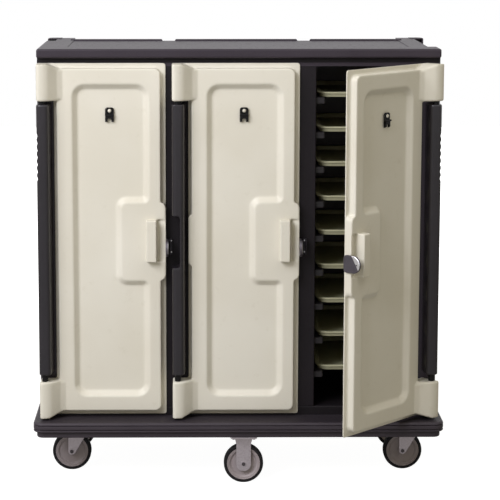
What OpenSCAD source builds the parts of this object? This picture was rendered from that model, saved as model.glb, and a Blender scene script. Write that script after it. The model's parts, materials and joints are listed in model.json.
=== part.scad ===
// Enclosed tray cart: three bays behind hinged doors, on a moulded base with six casters.
// Millimetres. X runs to the right, Y to the back and Z up from the floor the wheels stand on.
// The right door stands partly open.

/* [Bays] */
// Room on each side of a tray in its bay
tray_side_room = 8.5; // [6:0.5:15]
// Height from one tray level to the next
level_pitch = 133; // [130:1:140]
// Tray levels in a bay, the floor counted as the lowest
levels = 10; // [7:1:12]
// How much the bay's ceiling is lower than a full top level
ceiling_drop = 12; // [0:1:20]
// Distance of the ledges from the back wall
ledge_rear = 15; // [10:1:40]
// How far a ledge reaches into the bay
ledge_reach = 35; // [25:1:60]
// Thickness of a ledge
ledge_t = 22; // [15:1:30]
// Distance from the cabinet's front face to the ledges
ledge_setback = 15; // [10:1:25]

/* [Cabinet] */
// Thickness of the outer side walls
side_t = 70; // [66:1:90]
// Width of the rib between the left and the middle bay
left_rib_w = 110; // [106:1:140]
// Width of the rib between the middle and the right bay
right_rib_w = 80; // [78:1:110]
// Room behind the trays
tray_rear_room = 17; // [10:1:60]
// Thickness of the back wall
back_t = 40; // [30:1:45]
// Radius of the cabinet's upright back corners
body_r = 30; // [10:1:45]

/* [Top] */
// Thickness of the roof between the bays and the deck
roof_t = 64; // [55:1:80]
// How far the front bar stands above the deck
bar_rise = 3; // [1:0.5:8]
// Height of the front bar
bar_h = 35; // [25:1:40]
// How far the front bar stands in front of the cabinet's face
bar_out = 30; // [15:1:40]
// How far the front bar runs back over the roof
bar_back = 100; // [60:1:150]
// Radius of the front bar's corners
bar_r = 12; // [5:1:14]
// Width of the shoulder that slopes down on each side of the deck
shoulder_w = 37; // [20:1:50]
// How far the shoulder slopes down
shoulder_drop = 30; // [10:1:40]
// Distance of the rear rim from the cabinet's face
rim_y = 470; // [440:1:500]
// Thickness of the rear rim
rim_t = 20; // [12:1:30]
// Height of the rear rim over the deck
rim_h = 7; // [4:1:14]
// Distance of the rim's ends from the cabinet's sides
rim_end = 90; // [60:1:130]
// Distance of the rim's two notches from the middle
notch_x = 271; // [200:1:320]
// Width of a notch in the rim
notch_w = 40; // [20:1:60]
// Height of the low strip behind the rim, under the deck
rear_drop = 15; // [5:1:25]
// Width of each raised back corner
ear_w = 58; // [30:1:80]
// Length of each raised back corner
ear_l = 55; // [30:1:80]
// Height of each raised back corner over the deck
ear_h = 6; // [3:0.5:14]
// How far the step in front of each raised corner lies under the deck
step_drop = 18; // [10:1:24]

/* [Base] */
// Height of the base's underside over the floor
ride_h = 190; // [185:1:210]
// Height of the base's edge
base_h = 62; // [55:1:75]
// How far the base stands out past each side of the cabinet
base_side = 24; // [15:1:40]
// How far the base stands out in front
base_front = 115; // [100:1:130]
// How far the base stands out behind
base_rear = 85; // [60:1:100]
// Corner radius of the base
base_r = 40; // [20:1:60]
// Height of the narrower lip under the bumper
lip_h = 24; // [15:1:30]
// How far the lip is set in
lip_inset = 13; // [5:1:20]
// Height of the bay floor over the base's top
floor_rise = 36; // [30:1:45]

/* [Doors] */
// Opening angle that the right door stands at
door_open = 46; // [0:1:52]
// Thickness of a door
door_t = 37; // [33:1:42]
// Thickness of the flange around a door
flange_t = 8; // [5:1:12]
// Width of the flange around a door
flange_w = 19; // [12:1:25]
// Overlap of the door on the hinge side of its bay
hinge_lap = 68; // [66:0.5:69]
// Overlap of the door on the latch side of its bay
latch_lap = 17; // [12:1:18]
// Overlap of the door over the top of its bay
top_lap = 13; // [8:1:16]
// Overlap of the door under the floor of its bay
bottom_lap = 28; // [20:1:29]
// Distance of the hinge axis from the door's hinge edge
hinge_inset = 20; // [18:1:22]
// Distance of the hinge axis in front of the cabinet
hinge_out = 60; // [55:1:62]
// Depth of the hinge knuckles and posts in front of the cabinet
knuckle_out = 85; // [80:1:90]
// Width of a knuckle's front face
knuckle_w = 33; // [31:1:36]
// Distance from the hinge edge to where a knuckle's flank meets the door
knuckle_flank = 73; // [68:1:90]
// Height of the upper knuckle
upper_knuckle_h = 139; // [110:1:160]
// Height of the lower knuckle
lower_knuckle_h = 143; // [110:1:160]
// Radius of the knuckle and post edges
knuckle_r = 8; // [4:1:9]
// Distance from the hinge edge to the raised front of the door
strip_end = 72; // [66:1:80]
// Corner radius of the raised front
panel_r = 24; // [10:1:30]

/* [Door front] */
// Depth of the recess in the door's front
recess_depth = 14; // [8:1:18]
// Width of the recess's sloping edge
recess_slope = 25; // [10:1:28]
// Distance of the recess from the hinge edge
recess_left = 130; // [110:1:140]
// Distance of the recess from the latch edge
recess_right = 63; // [60:1:70]
// Distance of the recess from the door's top and bottom
recess_end = 77; // [60:1:90]
// Corner radius of the recess
recess_r = 49; // [40:1:60]
// Width of the flat pad around the handle, from the latch edge
pad_w = 168; // [150:1:175]
// Height of the pad
pad_h = 300; // [260:1:320]
// Height of the pad's middle over the door's bottom
pad_z = 680; // [660:1:700]
// Corner radius of the pad
pad_r = 20; // [10:1:30]
// Width of the handle bar
handle_w = 41; // [30:1:44]
// Height of the handle bar
handle_h = 161; // [140:1:180]
// How far the handle bar stands out from the door
handle_out = 30; // [20:1:32]
// Distance of the handle bar from the latch edge
handle_edge = 34; // [30:1:38]
// Height of the handle bar's middle over the door's bottom
handle_z = 685; // [675:1:695]
// Width of the finger pocket beside the handle bar
pocket_w = 29; // [20:1:30]
// Depth of the finger pocket
pocket_depth = 22; // [15:1:24]
// Corner radius of the handle bar and the pocket
pocket_r = 8; // [4:1:10]
// Width of the slopes at the handle bar's hinge side and top
handle_slope = 12; // [6:1:16]

/* [Hinge posts] */
// Width of a post's front face
post_w = 45; // [40:1:46]
// Width of a post where it meets the cabinet
post_foot_w = 53; // [48:1:54]
// How far a post stands out past its door's hinge edge
post_proud = 1; // [0:0.5:2]
// Gap between the upper knuckle and its post
upper_gap = 12; // [8:1:20]
// Gap between the lower knuckle and its post
lower_gap = 27; // [15:1:35]
// Radius of the hinge pins
pin_r = 6; // [4:0.5:8]
// Depth of a hinge pin in its post and its knuckle
pin_grip = 60; // [40:1:80]
// Radius of the collar on a hinge pin
collar_r = 12; // [9:1:14]
// Number of finger grooves in the side of an outer post
grooves = 7; // [3:1:9]
// Height from one finger groove to the next
groove_pitch = 27; // [24:1:30]
// Depth of a finger groove
groove_depth = 4; // [2:0.5:6]
// Height of the flat land between two grooves
groove_land = 4; // [2:0.5:8]
// Distance of the highest groove under the post's top
groove_top = 118; // [100:1:140]
// Height of the gap in the middle post where the latch passes
post_notch_h = 199; // [150:1:220]
// Width of the gap in the middle post
post_notch_w = 30; // [20:1:34]
// Height of the gap's middle over the latches
post_notch_rise = 29; // [0:1:40]
// Gap between a post and the door's edge beside it
strip_gap = 1; // [0.5:0.5:3]
// Corner radius of the door's front beside the gap in the middle post
strip_r = 15; // [8:1:18]

/* [Latches] */
// Height of the latches over the doors' bottom
latch_z = 657; // [640:1:670]
// Height of a latch paddle
latch_h = 65; // [50:1:70]
// Thickness of a latch paddle
latch_t = 10; // [6:0.5:11]
// How far a latch paddle reaches in front of the cabinet
latch_reach = 81; // [70:1:90]
// Distance of a latch paddle from the cabinet's front face
latch_back = 6; // [6:0.5:9]
// Radius of a latch paddle's back corners
latch_r = 14; // [10:1:20]
// Distance of a latch pivot from the cabinet's front face
latch_pivot = 10; // [9:0.5:11]
// Radius of a latch pivot
latch_pin_r = 3; // [2:0.5:3]
// Depth of a latch pivot in its door
latch_pin_l = 14; // [8:1:18]
// Radius of the eye in a latch paddle
eye_r = 3; // [2:0.5:5]
// Distance of the eye from the paddle's nose
eye_edge = 14; // [8:1:20]
// Thickness of a strike's foot and lugs
strike_t = 3; // [2:0.5:3]
// Height of a strike
strike_h = 62; // [50:1:80]
// How far a strike's lug stands out from the cabinet
strike_out = 30; // [20:1:40]
// Gap between the two lugs of the double strike
strike_gap = 8; // [7:0.5:10]
// Gap between a passing latch paddle and a strike's lug
lug_gap = 1; // [1:0.5:3]
// Distance of a lug's hole from its front edge
lug_hole_edge = 11; // [9:1:14]
// Radius of the hole in a strike's lug
strike_hole_r = 5; // [3:0.5:8]
// Radius of a strike screw
screw_r = 2; // [1.5:0.5:2.5]
// Length of a strike screw in the cabinet
screw_l = 15; // [10:1:25]
// Distance between a strike's two screws
screw_span = 44; // [30:1:46]

/* [Menu clips] */
// Width of a clip's plate
clip_w = 33; // [28:1:40]
// Height of a clip's plate
clip_h = 55; // [45:1:65]
// Thickness of a clip's plate
clip_t = 3; // [2:0.5:4]
// Corner radius of a clip's plate
clip_r = 12; // [6:1:13]
// Distance of a clip's middle from the hinge edge
clip_u = 272; // [220:1:280]
// Distance of a clip's middle under the door's top
clip_drop = 194; // [170:1:220]
// Radius of the round window in a clip
clip_hole_r = 7.5; // [5:0.5:9]
// Length of a clip's flap
flap_l = 25; // [18:1:25]
// Thickness of a clip's flap
flap_t = 2.5; // [1.5:0.5:3]
// Radius of a flap's barrel
barrel_r = 3.5; // [3:0.25:4]
// Radius of a flap's pivot pins
flap_pin_r = 1.5; // [1:0.25:2]

/* [Trays] */
// Width of a tray
tray_w = 381; // [370:1:386]
// Length of a tray
tray_l = 508; // [480:1:520]
// Height of a tray
tray_h = 19; // [14:1:25]
// Corner radius of a tray
tray_r = 50; // [30:1:60]
// Width of a tray's rim
tray_rim = 18; // [10:1:25]
// Thickness of a tray's bottom
tray_t = 4; // [3:0.5:6]
// Distance of a tray's front edge from the cabinet's face
tray_setback = 35; // [30:1:45]

/* [Casters] */
// Radius of a wheel
wheel_r = 76; // [70:1:80]
// Width of a tyre
wheel_w = 32; // [25:1:38]
// Thickness of a tyre's tread
tyre_t = 12.5; // [8:0.5:18]
// Radius of an axle
axle_r = 6; // [5:0.5:8]
// Width of a hub between its fork's legs
hub_w = 38; // [38:1:44]
// Depth of the dish in a hub's faces
dish_depth = 8; // [4:0.5:9]
// Radius of a hub's middle boss
boss_r = 17; // [14:1:22]
// Thickness of a fork's metal
fork_t = 5; // [4:0.5:7]
// Distance of a swivel wheel's axle from the swivel axis
trail = 30; // [20:1:40]
// Width of a rigid fork's leg
rigid_leg_w = 56; // [40:1:62]
// Radius of a swivel fork's leg round its axle
foot_r = 14; // [11:1:18]
// Half the length of a swivel fork's crown, over the wheel's far side
crown_half = 42; // [39:1:50]
// How much a rigid fork's leg flares under its top plate
leg_flare = 8; // [0:1:12]
// Height of that flare
flare_h = 30; // [10:1:35]
// Radius of a swivel raceway
race_r = 38; // [30:1:40]
// Height of a swivel raceway
race_h = 10; // [6:1:14]
// Radius of a king pin
king_r = 8; // [6:0.5:10]
// Size of a top plate along X
plate_x = 102; // [98:1:115]
// Size of a top plate along Y
plate_y = 114; // [110:1:125]
// Thickness of a top plate
plate_t = 5; // [4:0.5:8]
// Distance of a bolt from a top plate's edges
bolt_inset = 12; // [11:1:13]
// Radius of a caster bolt
bolt_r = 4; // [3:0.5:5]
// Length of a caster bolt in the base
bolt_l = 30; // [20:1:45]
// Distance of the swivel wheels' axles from the base's sides
swivel_side = 133; // [125:1:200]
// Distance of the rigid casters from the middle of the cart
rigid_x = 20; // [0:1:30]
// Distance of the front swivel wheels from the base's front
swivel_in = 246; // [200:1:260]
// Distance of the front rigid wheel from the base's front
rigid_in = 71; // [65:1:90]

/* [Fits] */
// Gap between a closed door and the cabinet's front
door_gap = 0.3; // [0.2:0.1:0.6]
// Gap between a tray and its ledge, and between moving faces
slip_gap = 0.3; // [0.2:0.1:0.6]
// Running clearance on the radius of pins and axles
run_gap = 0.05; // [0.02:0.01:0.1]

/* [Hidden] */

// Colours
dark_plastic = [0.24, 0.22, 0.24];
cream_plastic = [0.88, 0.86, 0.80];
steel = [0.55, 0.54, 0.56];
black_plastic = [0.06, 0.05, 0.06];
tray_plastic = [0.62, 0.62, 0.50];
hub_plastic = [0.54, 0.51, 0.51];

// Widths
bay_w = tray_w + 2 * tray_side_room;
body_w = 2 * side_t + 3 * bay_w + left_rib_w + right_rib_w;
body_x = -body_w / 2;
base_w = body_w + 2 * base_side;
body_d = tray_setback + tray_l + tray_rear_room + back_t;
ledge_l = body_d - back_t - ledge_setback - ledge_rear;
base_d = base_front + body_d + base_rear;
bay_x = [
    body_x + side_t,
    body_x + side_t + bay_w + left_rib_w,
    -body_x - side_t - bay_w
];

// Heights
base_top = ride_h + base_h;
floor_z = base_top + floor_rise;
bay_h = levels * level_pitch - ceiling_drop;
bay_top = floor_z + bay_h;
deck_z = bay_top + roof_t;
door_bottom = floor_z - bottom_lap;
door_top = bay_top + top_lap;
knuckle_low = door_bottom + lower_knuckle_h;
knuckle_high = door_top - upper_knuckle_h;
post_bottom = knuckle_low + lower_gap;
post_top = knuckle_high - upper_gap;
latch_mid = door_bottom + latch_z;
notch_mid = latch_mid + post_notch_rise;

// Doors: index 0 is left, 1 middle and 2 right. The right one is hinged on its right side.
door_w = hinge_lap + bay_w + latch_lap;
hinge_edge = [bay_x[0] - hinge_lap, bay_x[1] - hinge_lap, bay_x[2] + bay_w + hinge_lap];
hand = [1, 1, -1];
turn = [0, 0, door_open];
latch_side = [for (i = [0:2]) hinge_edge[i] + hand[i] * door_w];

// The cabinet's front face, placed so that the whole cart is centred on Y
latch_face = door_w + slip_gap + latch_t;
door_swing = (latch_face - hinge_inset) * sin(door_open) + (latch_reach - hinge_out) * cos(door_open);
front_reach = max(hinge_out + door_swing, base_front);
rear_reach = body_d + base_rear;
face_y = (front_reach - rear_reach) / 2;

// Casters
plate_z = ride_h - plate_t;
race_z = plate_z - slip_gap - race_h;
crown_z = race_z - fork_t;
leg_y = hub_w / 2 + slip_gap;
front_swivel_y = face_y - base_front + swivel_in;
rear_swivel_y = face_y + body_d + base_rear - swivel_in;
front_rigid_y = face_y - base_front + rigid_in;
rear_rigid_y = face_y + body_d + base_rear - rigid_in;
swivel_axle_x = base_w / 2 - swivel_side;
pivot_x = [-swivel_axle_x + trail, swivel_axle_x + trail];
plate_spots = [
    [pivot_x[0], front_swivel_y], [pivot_x[1], front_swivel_y],
    [pivot_x[0], rear_swivel_y], [pivot_x[1], rear_swivel_y],
    [rigid_x, front_rigid_y], [rigid_x, rear_rigid_y]
];
bolt_spots = [
    for (sx = [-1, 1]) for (sy = [-1, 1])
        [sx * (plate_x / 2 - bolt_inset), sy * (plate_y / 2 - bolt_inset)]
];
bolt_head_r = 7;
bolt_head_h = 5;
screw_head_r = 3;
screw_head_h = 2;
sliver = 0.05;

// Rectangle with round corners, from one corner to the other
module round_rect(x0, y0, x1, y1, r) {
    translate([x0 + r, y0]) square([x1 - x0 - 2 * r, y1 - y0]);
    translate([x0, y0 + r]) square([x1 - x0, y1 - y0 - 2 * r]);
    for (x = [x0 + r, x1 - r]) for (y = [y0 + r, y1 - r]) translate([x, y]) circle(r, $fn = 48);
}

// Plan outline of the cabinet
module body_outline() {
    round_rect(body_x, face_y, -body_x, face_y + body_d, body_r);
    translate([body_x, face_y]) square([body_w, body_r]);
}

// Part of the cabinet between two heights and two X values
module wall(x0, x1, y0, y1, z0, z1) {
    intersection() {
        translate([x0, face_y + y0, z0]) cube([x1 - x0, y1 - y0, z1 - z0]);
        translate([0, 0, z0]) linear_extrude(z1 - z0) body_outline();
    }
}

// Children drawn on a closed door: X from its hinge edge, Y from the cabinet's face
module on_door(i) {
    translate([hinge_edge[i] + hand[i] * hinge_inset, face_y - hinge_out, 0])
        rotate([0, 0, turn[i]])
            translate([-hand[i] * hinge_inset, hinge_out, 0])
                if (hand[i] > 0) children();
                else mirror([1, 0, 0]) children();
}

// Children drawn on the cabinet's face at a door's hinge edge
module at_hinge_edge(i) {
    translate([hinge_edge[i], face_y, 0])
        if (hand[i] > 0) children();
        else mirror([1, 0, 0]) children();
}

// Upright plate facing the front, between two distances in front of the cabinet
module plate(u0, z0, u1, z1, r, v0, v1) {
    translate([0, -v0, 0]) rotate([90, 0, 0]) linear_extrude(v1 - v0) round_rect(u0, z0, u1, z1, r);
}

/* Cabinet */

module base_tray() {
    base_x = -base_w / 2;
    base_y = face_y - base_front;
    top_round = 6;
    color(dark_plastic) difference() {
        union() {
            translate([0, 0, ride_h]) linear_extrude(base_h - top_round) round_rect(
                base_x + lip_inset, base_y + lip_inset,
                -base_x - lip_inset, base_y + base_d - lip_inset, base_r - lip_inset);
            translate([0, 0, ride_h + lip_h]) linear_extrude(base_h - lip_h - top_round)
                round_rect(base_x, base_y, -base_x, base_y + base_d, base_r);
            translate([0, 0, base_top - top_round]) linear_extrude(top_round) round_rect(
                base_x + top_round, base_y + top_round,
                -base_x - top_round, base_y + base_d - top_round, base_r - top_round);
            translate([body_x + side_t, face_y, base_top - 1])
                cube([body_w - 2 * side_t, body_d - back_t, floor_rise + 1]);
        }
        for (spot = plate_spots) for (bolt = bolt_spots)
            translate([spot[0] + bolt[0], spot[1] + bolt[1], ride_h - 1])
                cylinder(bolt_l + 1, r = bolt_r, $fn = 32);
    }
}

module left_side() {
    color(dark_plastic) wall(body_x, body_x + side_t, 0, body_d, base_top, bay_top);
}

module right_side() {
    color(dark_plastic) wall(-body_x - side_t, -body_x, 0, body_d, base_top, bay_top);
}

// A rib between two bays, with holes for the screws of its strike
module rib(x0, w, screw_x) {
    difference() {
        wall(x0, x0 + w, 0, body_d - back_t, floor_z, bay_top);
        screw_holes(screw_x, screw_l);
    }
}

module left_partition() {
    color(dark_plastic) rib(bay_x[0] + bay_w, left_rib_w, single_screw_x());
}

module right_partition() {
    color(dark_plastic) rib(bay_x[1] + bay_w, right_rib_w, double_screw_x());
}

module back_wall() {
    color(dark_plastic)
        wall(body_x + side_t, -body_x - side_t, body_d - back_t, body_d, base_top, bay_top);
}

module top_deck() {
    bar_top = deck_z + bar_rise;
    ear_top = deck_z + ear_h;
    step_z = deck_z - step_drop;
    root = deck_z - shoulder_drop - 1;
    color(dark_plastic) union() {
        // Roof with sloping shoulders, lower behind the rim
        difference() {
            wall(body_x, -body_x, 0, body_d, bay_top, deck_z);
            for (side = [0, 1]) mirror([side, 0, 0])
                translate([body_x, face_y + body_d + 1, deck_z]) rotate([90, 0, 0])
                    linear_extrude(body_d - bar_back + 1)
                        polygon([[-1, 1], [shoulder_w, 1], [shoulder_w, 0],
                            [0, -shoulder_drop], [-1, -shoulder_drop]]);
            translate([body_x - 1, face_y + rim_y + rim_t, deck_z - rear_drop])
                cube([body_w + 2, body_d, rear_drop + 1]);
        }
        // Front bar
        translate([body_x, face_y + bar_back, bar_top - bar_h]) rotate([90, 0, 0])
            linear_extrude(bar_back + bar_out) round_rect(0, 0, body_w, bar_h, bar_r);
        // Rim in three lengths
        for (span = [[body_x + rim_end, rim_cut()[0] - notch_w / 2],
                     [rim_cut()[0] + notch_w / 2, rim_cut()[1] - notch_w / 2],
                     [rim_cut()[1] + notch_w / 2, -body_x - rim_end]])
            translate([span[0], face_y + rim_y, deck_z - 1]) cube([span[1] - span[0], rim_t, rim_h + 1]);
        // Raised back corners, each with a lower step in front
        for (side = [0, 1]) mirror([side, 0, 0]) {
            wall(body_x, body_x + ear_w, body_d - ear_l, body_d, root, ear_top);
            wall(body_x, body_x + shoulder_w, rim_y, body_d - ear_l, root, step_z);
        }
    }
}

// Middles of the two notches in the rear rim
function rim_cut() = [-notch_x, notch_x];

module tray_ledges() {
    color(dark_plastic) for (x = bay_x) for (side = [0, 1]) for (level = [1:levels - 1])
        translate([
            x + side * (bay_w - ledge_reach),
            face_y + ledge_setback,
            floor_z + level * level_pitch - ledge_t
        ]) cube([ledge_reach, ledge_l, ledge_t]);
}

/* Hinge posts */

module post_solid() {
    translate([0, 0, post_bottom]) linear_extrude(post_top - post_bottom) {
        foot_u = post_foot_w - post_proud;
        slant = (post_foot_w - post_w) / knuckle_out;
        offset(r = knuckle_r, $fn = 32) offset(delta = -knuckle_r) polygon([
            [-post_proud, 0], [-post_proud, -knuckle_out], [post_w - post_proud, -knuckle_out], [foot_u, 0]]);
        // Square corners at the cabinet
        polygon([[-post_proud, 0], [-post_proud, -2 * knuckle_r],
            [foot_u - slant * 2 * knuckle_r, -2 * knuckle_r], [foot_u, 0]]);
    }
}

// Bores for the pins at both ends of a post
module post_bores() {
    for (z = [post_bottom - 1, post_top - pin_grip])
        translate([hinge_inset, -hinge_out, z]) cylinder(pin_grip + 1, r = pin_r, $fn = 48);
}

module outer_post() {
    groove_r = (groove_pitch - groove_land) / 2;
    difference() {
        post_solid();
        post_bores();
        for (n = [0:grooves - 1])
            translate([-post_proud - groove_r + groove_depth, 1, post_top - groove_top - n * groove_pitch])
                rotate([90, 0, 0]) cylinder(knuckle_out + 2, r = groove_r, $fn = 48);
    }
}

module hinge_post_left() {
    color(dark_plastic) at_hinge_edge(0) outer_post();
}

module hinge_post_middle() {
    color(dark_plastic) at_hinge_edge(1) difference() {
        post_solid();
        post_bores();
        translate([-post_proud - 1, -knuckle_out - 1, notch_mid - post_notch_h / 2])
            cube([post_notch_w + 1, knuckle_out + 2, post_notch_h]);
    }
}

module hinge_post_right() {
    color(dark_plastic) at_hinge_edge(2) outer_post();
}

module hinge_pins() {
    color(steel) for (i = [0:2]) at_hinge_edge(i) translate([hinge_inset, -hinge_out, 0]) {
        translate([0, 0, post_top - pin_grip])
            cylinder(2 * pin_grip + upper_gap, r = pin_r, $fn = 48);
        translate([0, 0, post_top]) cylinder(upper_gap - slip_gap, r = collar_r, $fn = 48);
        translate([0, 0, knuckle_low - pin_grip])
            cylinder(2 * pin_grip + lower_gap, r = pin_r, $fn = 48);
        translate([0, 0, knuckle_low + slip_gap]) cylinder(lower_gap - slip_gap, r = collar_r, $fn = 48);
    }
}

/* Doors */

// Plan of a knuckle: the back corner is round about the hinge axis, so it clears the cabinet
module knuckle_outline() {
    // The knuckle runs on inside the door, past its raised edge
    knuckle_root = knuckle_flank + panel_r + 2 * knuckle_r;
    intersection() {
        offset(r = knuckle_r, $fn = 32) offset(delta = -knuckle_r) polygon([
            [0, -door_gap], [0, -knuckle_out], [knuckle_w, -knuckle_out], [knuckle_flank, -door_t],
            [knuckle_root, -door_t], [knuckle_root, -door_gap]]);
        union() {
            translate([hinge_inset, -hinge_out]) circle(hinge_out - door_gap, $fn = 180);
            translate([hinge_inset, -knuckle_out - 1]) square([knuckle_root, knuckle_out + 1]);
        }
    }
}

module knuckle(z0, z1) {
    difference() {
        translate([0, 0, z0]) linear_extrude(z1 - z0) knuckle_outline();
        translate([hinge_inset, -hinge_out, z0 == door_bottom ? z1 - pin_grip - 1 : z0 - 1])
            cylinder(pin_grip + 2, r = pin_r + run_gap, $fn = 48);
    }
}

module door_leaf(i) {
    strip_start = post_foot_w - post_proud + strip_gap;
    pad_left = door_w - pad_w;
    pad_low = door_bottom + pad_z - pad_h / 2;
    pad_high = pad_low + pad_h;
    recess_high = door_top - recess_end;
    recess_low = door_bottom + recess_end;
    recess_right_u = door_w - recess_right;
    floor_v = door_t - recess_depth;
    bar_right = door_w - handle_edge;
    bar_low = door_bottom + handle_z - handle_h / 2;
    difference() {
        union() {
            plate(strip_start, door_bottom, door_w, door_top, 6, door_gap, flange_t);
            plate(strip_end, door_bottom + flange_w, door_w - flange_w, door_top - flange_w,
                panel_r, door_gap, door_t);
            knuckle(door_bottom, knuckle_low);
            knuckle(knuckle_high, door_top);
            plate(pad_left, pad_low, door_w, pad_high, pad_r, door_gap, door_t);
            // Beside the gap in the middle post the front runs on to the post
            if (i == 1) plate(strip_start, notch_mid - post_notch_h / 2, strip_end + panel_r,
                notch_mid + post_notch_h / 2, strip_r, door_gap, door_t);
        }
        difference() {
            hull() {
                plate(recess_left + recess_slope, recess_low + recess_slope,
                    recess_right_u - recess_slope, recess_high - recess_slope,
                    recess_r - recess_slope, floor_v, floor_v + sliver);
                plate(recess_left, recess_low, recess_right_u, recess_high,
                    recess_r, door_t, door_t + sliver);
            }
            hull() {
                plate(pad_left - recess_slope, pad_low - recess_slope, door_w, pad_high + recess_slope,
                    pad_r + recess_slope / 2, floor_v - 1, floor_v);
                plate(pad_left, pad_low, door_w, pad_high, pad_r, door_t, door_t + 1);
            }
        }
        plate(bar_right, bar_low, bar_right + pocket_w, bar_low + handle_h, pocket_r,
            door_t - pocket_depth, door_t + 1);
        translate([door_w - latch_pin_l - 1, -latch_pivot, latch_mid]) rotate([0, 90, 0])
            cylinder(latch_pin_l + 2, r = latch_pin_r + run_gap, $fn = 48);
    }
    hull() {
        plate(bar_right - handle_w - handle_slope, bar_low - handle_slope / 2, bar_right, bar_low + handle_h,
            pocket_r, door_t - 1, door_t);
        plate(bar_right - handle_w, bar_low, bar_right, bar_low + handle_h - handle_slope / 2,
            pocket_r, door_t + handle_out - sliver, door_t + handle_out);
    }
}

module door_left() { color(cream_plastic) on_door(0) door_leaf(0); }
module door_middle() { color(cream_plastic) on_door(1) door_leaf(1); }
module door_right() { color(cream_plastic) on_door(2) door_leaf(2); }

/* Latches and strikes */

module latch_paddle() {
    nose_r = latch_h / 2;
    nose_v = latch_reach - nose_r;
    face_u = door_w + slip_gap;
    difference() {
        union() {
            translate([face_u, 0, latch_mid]) rotate([0, 90, 0]) linear_extrude(latch_t) {
                round_rect(-nose_r, -nose_v - latch_r, nose_r, -latch_back, latch_r);
                translate([0, -nose_v]) circle(nose_r, $fn = 64);
            }
            translate([door_w - latch_pin_l, -latch_pivot, latch_mid]) rotate([0, 90, 0])
                cylinder(latch_pin_l + slip_gap + 1, r = latch_pin_r, $fn = 48);
        }
        translate([face_u - 1, -latch_reach + eye_edge, latch_mid]) rotate([0, 90, 0])
            cylinder(latch_t + 2, r = eye_r, $fn = 32);
    }
}

module latch_left() { color(steel) on_door(0) latch_paddle(); }
module latch_middle() { color(steel) on_door(1) latch_paddle(); }
module latch_right() { color(steel) on_door(2) latch_paddle(); }

// How far a latch's outer face moves sideways as its door opens
function latch_sweep() =
    norm([latch_face - hinge_inset, hinge_out - latch_back]) + hinge_inset - latch_face;

function single_lug_x() = latch_side[0] + slip_gap + latch_t + latch_sweep() + lug_gap;
function double_lug_x() = latch_side[1] + slip_gap + latch_t + latch_sweep() + lug_gap;
// The single strike's foot fills the strip between its lug and the middle post
function single_foot_end() = hinge_edge[1] - post_proud - slip_gap;
function single_screw_x() = (single_lug_x() + strike_t + single_foot_end()) / 2;
function double_foot_w() = 2 * strike_t + strike_gap;
function double_screw_x() = double_lug_x() + double_foot_w() / 2;

// Upright lug of a strike with its hole, standing on the cabinet's face
module strike_lug(x) {
    difference() {
        translate([x, face_y - strike_out, latch_mid - strike_h / 2]) cube([strike_t, strike_out, strike_h]);
        translate([x - 1, face_y - strike_out + lug_hole_edge, latch_mid]) rotate([0, 90, 0])
            cylinder(strike_t + 2, r = strike_hole_r, $fn = 48);
    }
}

module screw_holes(x, depth) {
    for (side = [-1, 1]) translate([x, face_y + depth, latch_mid + side * screw_span / 2])
        rotate([90, 0, 0]) cylinder(depth + strike_t + 1, r = screw_r, $fn = 32);
}

module strikes() {
    foot_z = latch_mid - strike_h / 2;
    color(steel) {
        difference() {
            union() {
                strike_lug(single_lug_x());
                translate([single_lug_x(), face_y - strike_t, foot_z])
                    cube([single_foot_end() - single_lug_x(), strike_t, strike_h]);
            }
            screw_holes(single_screw_x(), 1);
        }
        difference() {
            union() {
                strike_lug(double_lug_x());
                strike_lug(double_lug_x() + strike_t + strike_gap);
                translate([double_lug_x(), face_y - strike_t, foot_z])
                    cube([double_foot_w(), strike_t, strike_h]);
            }
            screw_holes(double_screw_x(), 1);
        }
    }
}

module strike_screws() {
    color(steel) for (x = [single_screw_x(), double_screw_x()]) for (side = [-1, 1])
        translate([x, face_y, latch_mid + side * screw_span / 2]) rotate([90, 0, 0]) {
            translate([0, 0, -screw_l]) cylinder(screw_l + strike_t + 1, r = screw_r, $fn = 32);
            translate([0, 0, strike_t]) cylinder(screw_head_h, r = screw_head_r, $fn = 32);
        }
}

/* Menu clips */

clip_mid = door_top - clip_drop;
clip_face = door_t - recess_depth;
flap_axis_z = clip_mid - 2;
flap_axis_v = clip_face + clip_t + barrel_r + slip_gap;
ear_t = 3;
window_edge = 5;

module clip_plate() {
    difference() {
        union() {
            plate(clip_u - clip_w / 2, clip_mid - clip_h / 2, clip_u + clip_w / 2, clip_mid + clip_h / 2,
                clip_r, clip_face, clip_face + clip_t);
            for (side = [-1, 1]) translate([clip_u + side * (clip_w - ear_t) / 2 - ear_t / 2, 0, 0])
                translate([0, -flap_axis_v - barrel_r, flap_axis_z - barrel_r])
                    cube([ear_t, flap_axis_v + barrel_r - clip_face, 2 * barrel_r]);
        }
        translate([clip_u, -clip_face + 1, clip_mid + clip_h / 2 - clip_hole_r - window_edge])
            rotate([90, 0, 0]) cylinder(clip_t + 2, r = clip_hole_r, $fn = 48);
        translate([clip_u - clip_w, -flap_axis_v, flap_axis_z]) rotate([0, 90, 0])
            cylinder(2 * clip_w, r = flap_pin_r + run_gap, $fn = 32);
    }
}

module clip_flap() {
    flap_w = clip_w - 2 * ear_t - 2 * slip_gap;
    translate([clip_u - flap_w / 2, -flap_axis_v, flap_axis_z]) rotate([0, 90, 0])
        cylinder(flap_w, r = barrel_r, $fn = 32);
    translate([clip_u - clip_w / 2, -flap_axis_v, flap_axis_z]) rotate([0, 90, 0])
        cylinder(clip_w, r = flap_pin_r, $fn = 32);
    translate([clip_u - flap_w / 2, -flap_axis_v - flap_t / 2, flap_axis_z - flap_l])
        cube([flap_w, flap_t, flap_l]);
}

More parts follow.
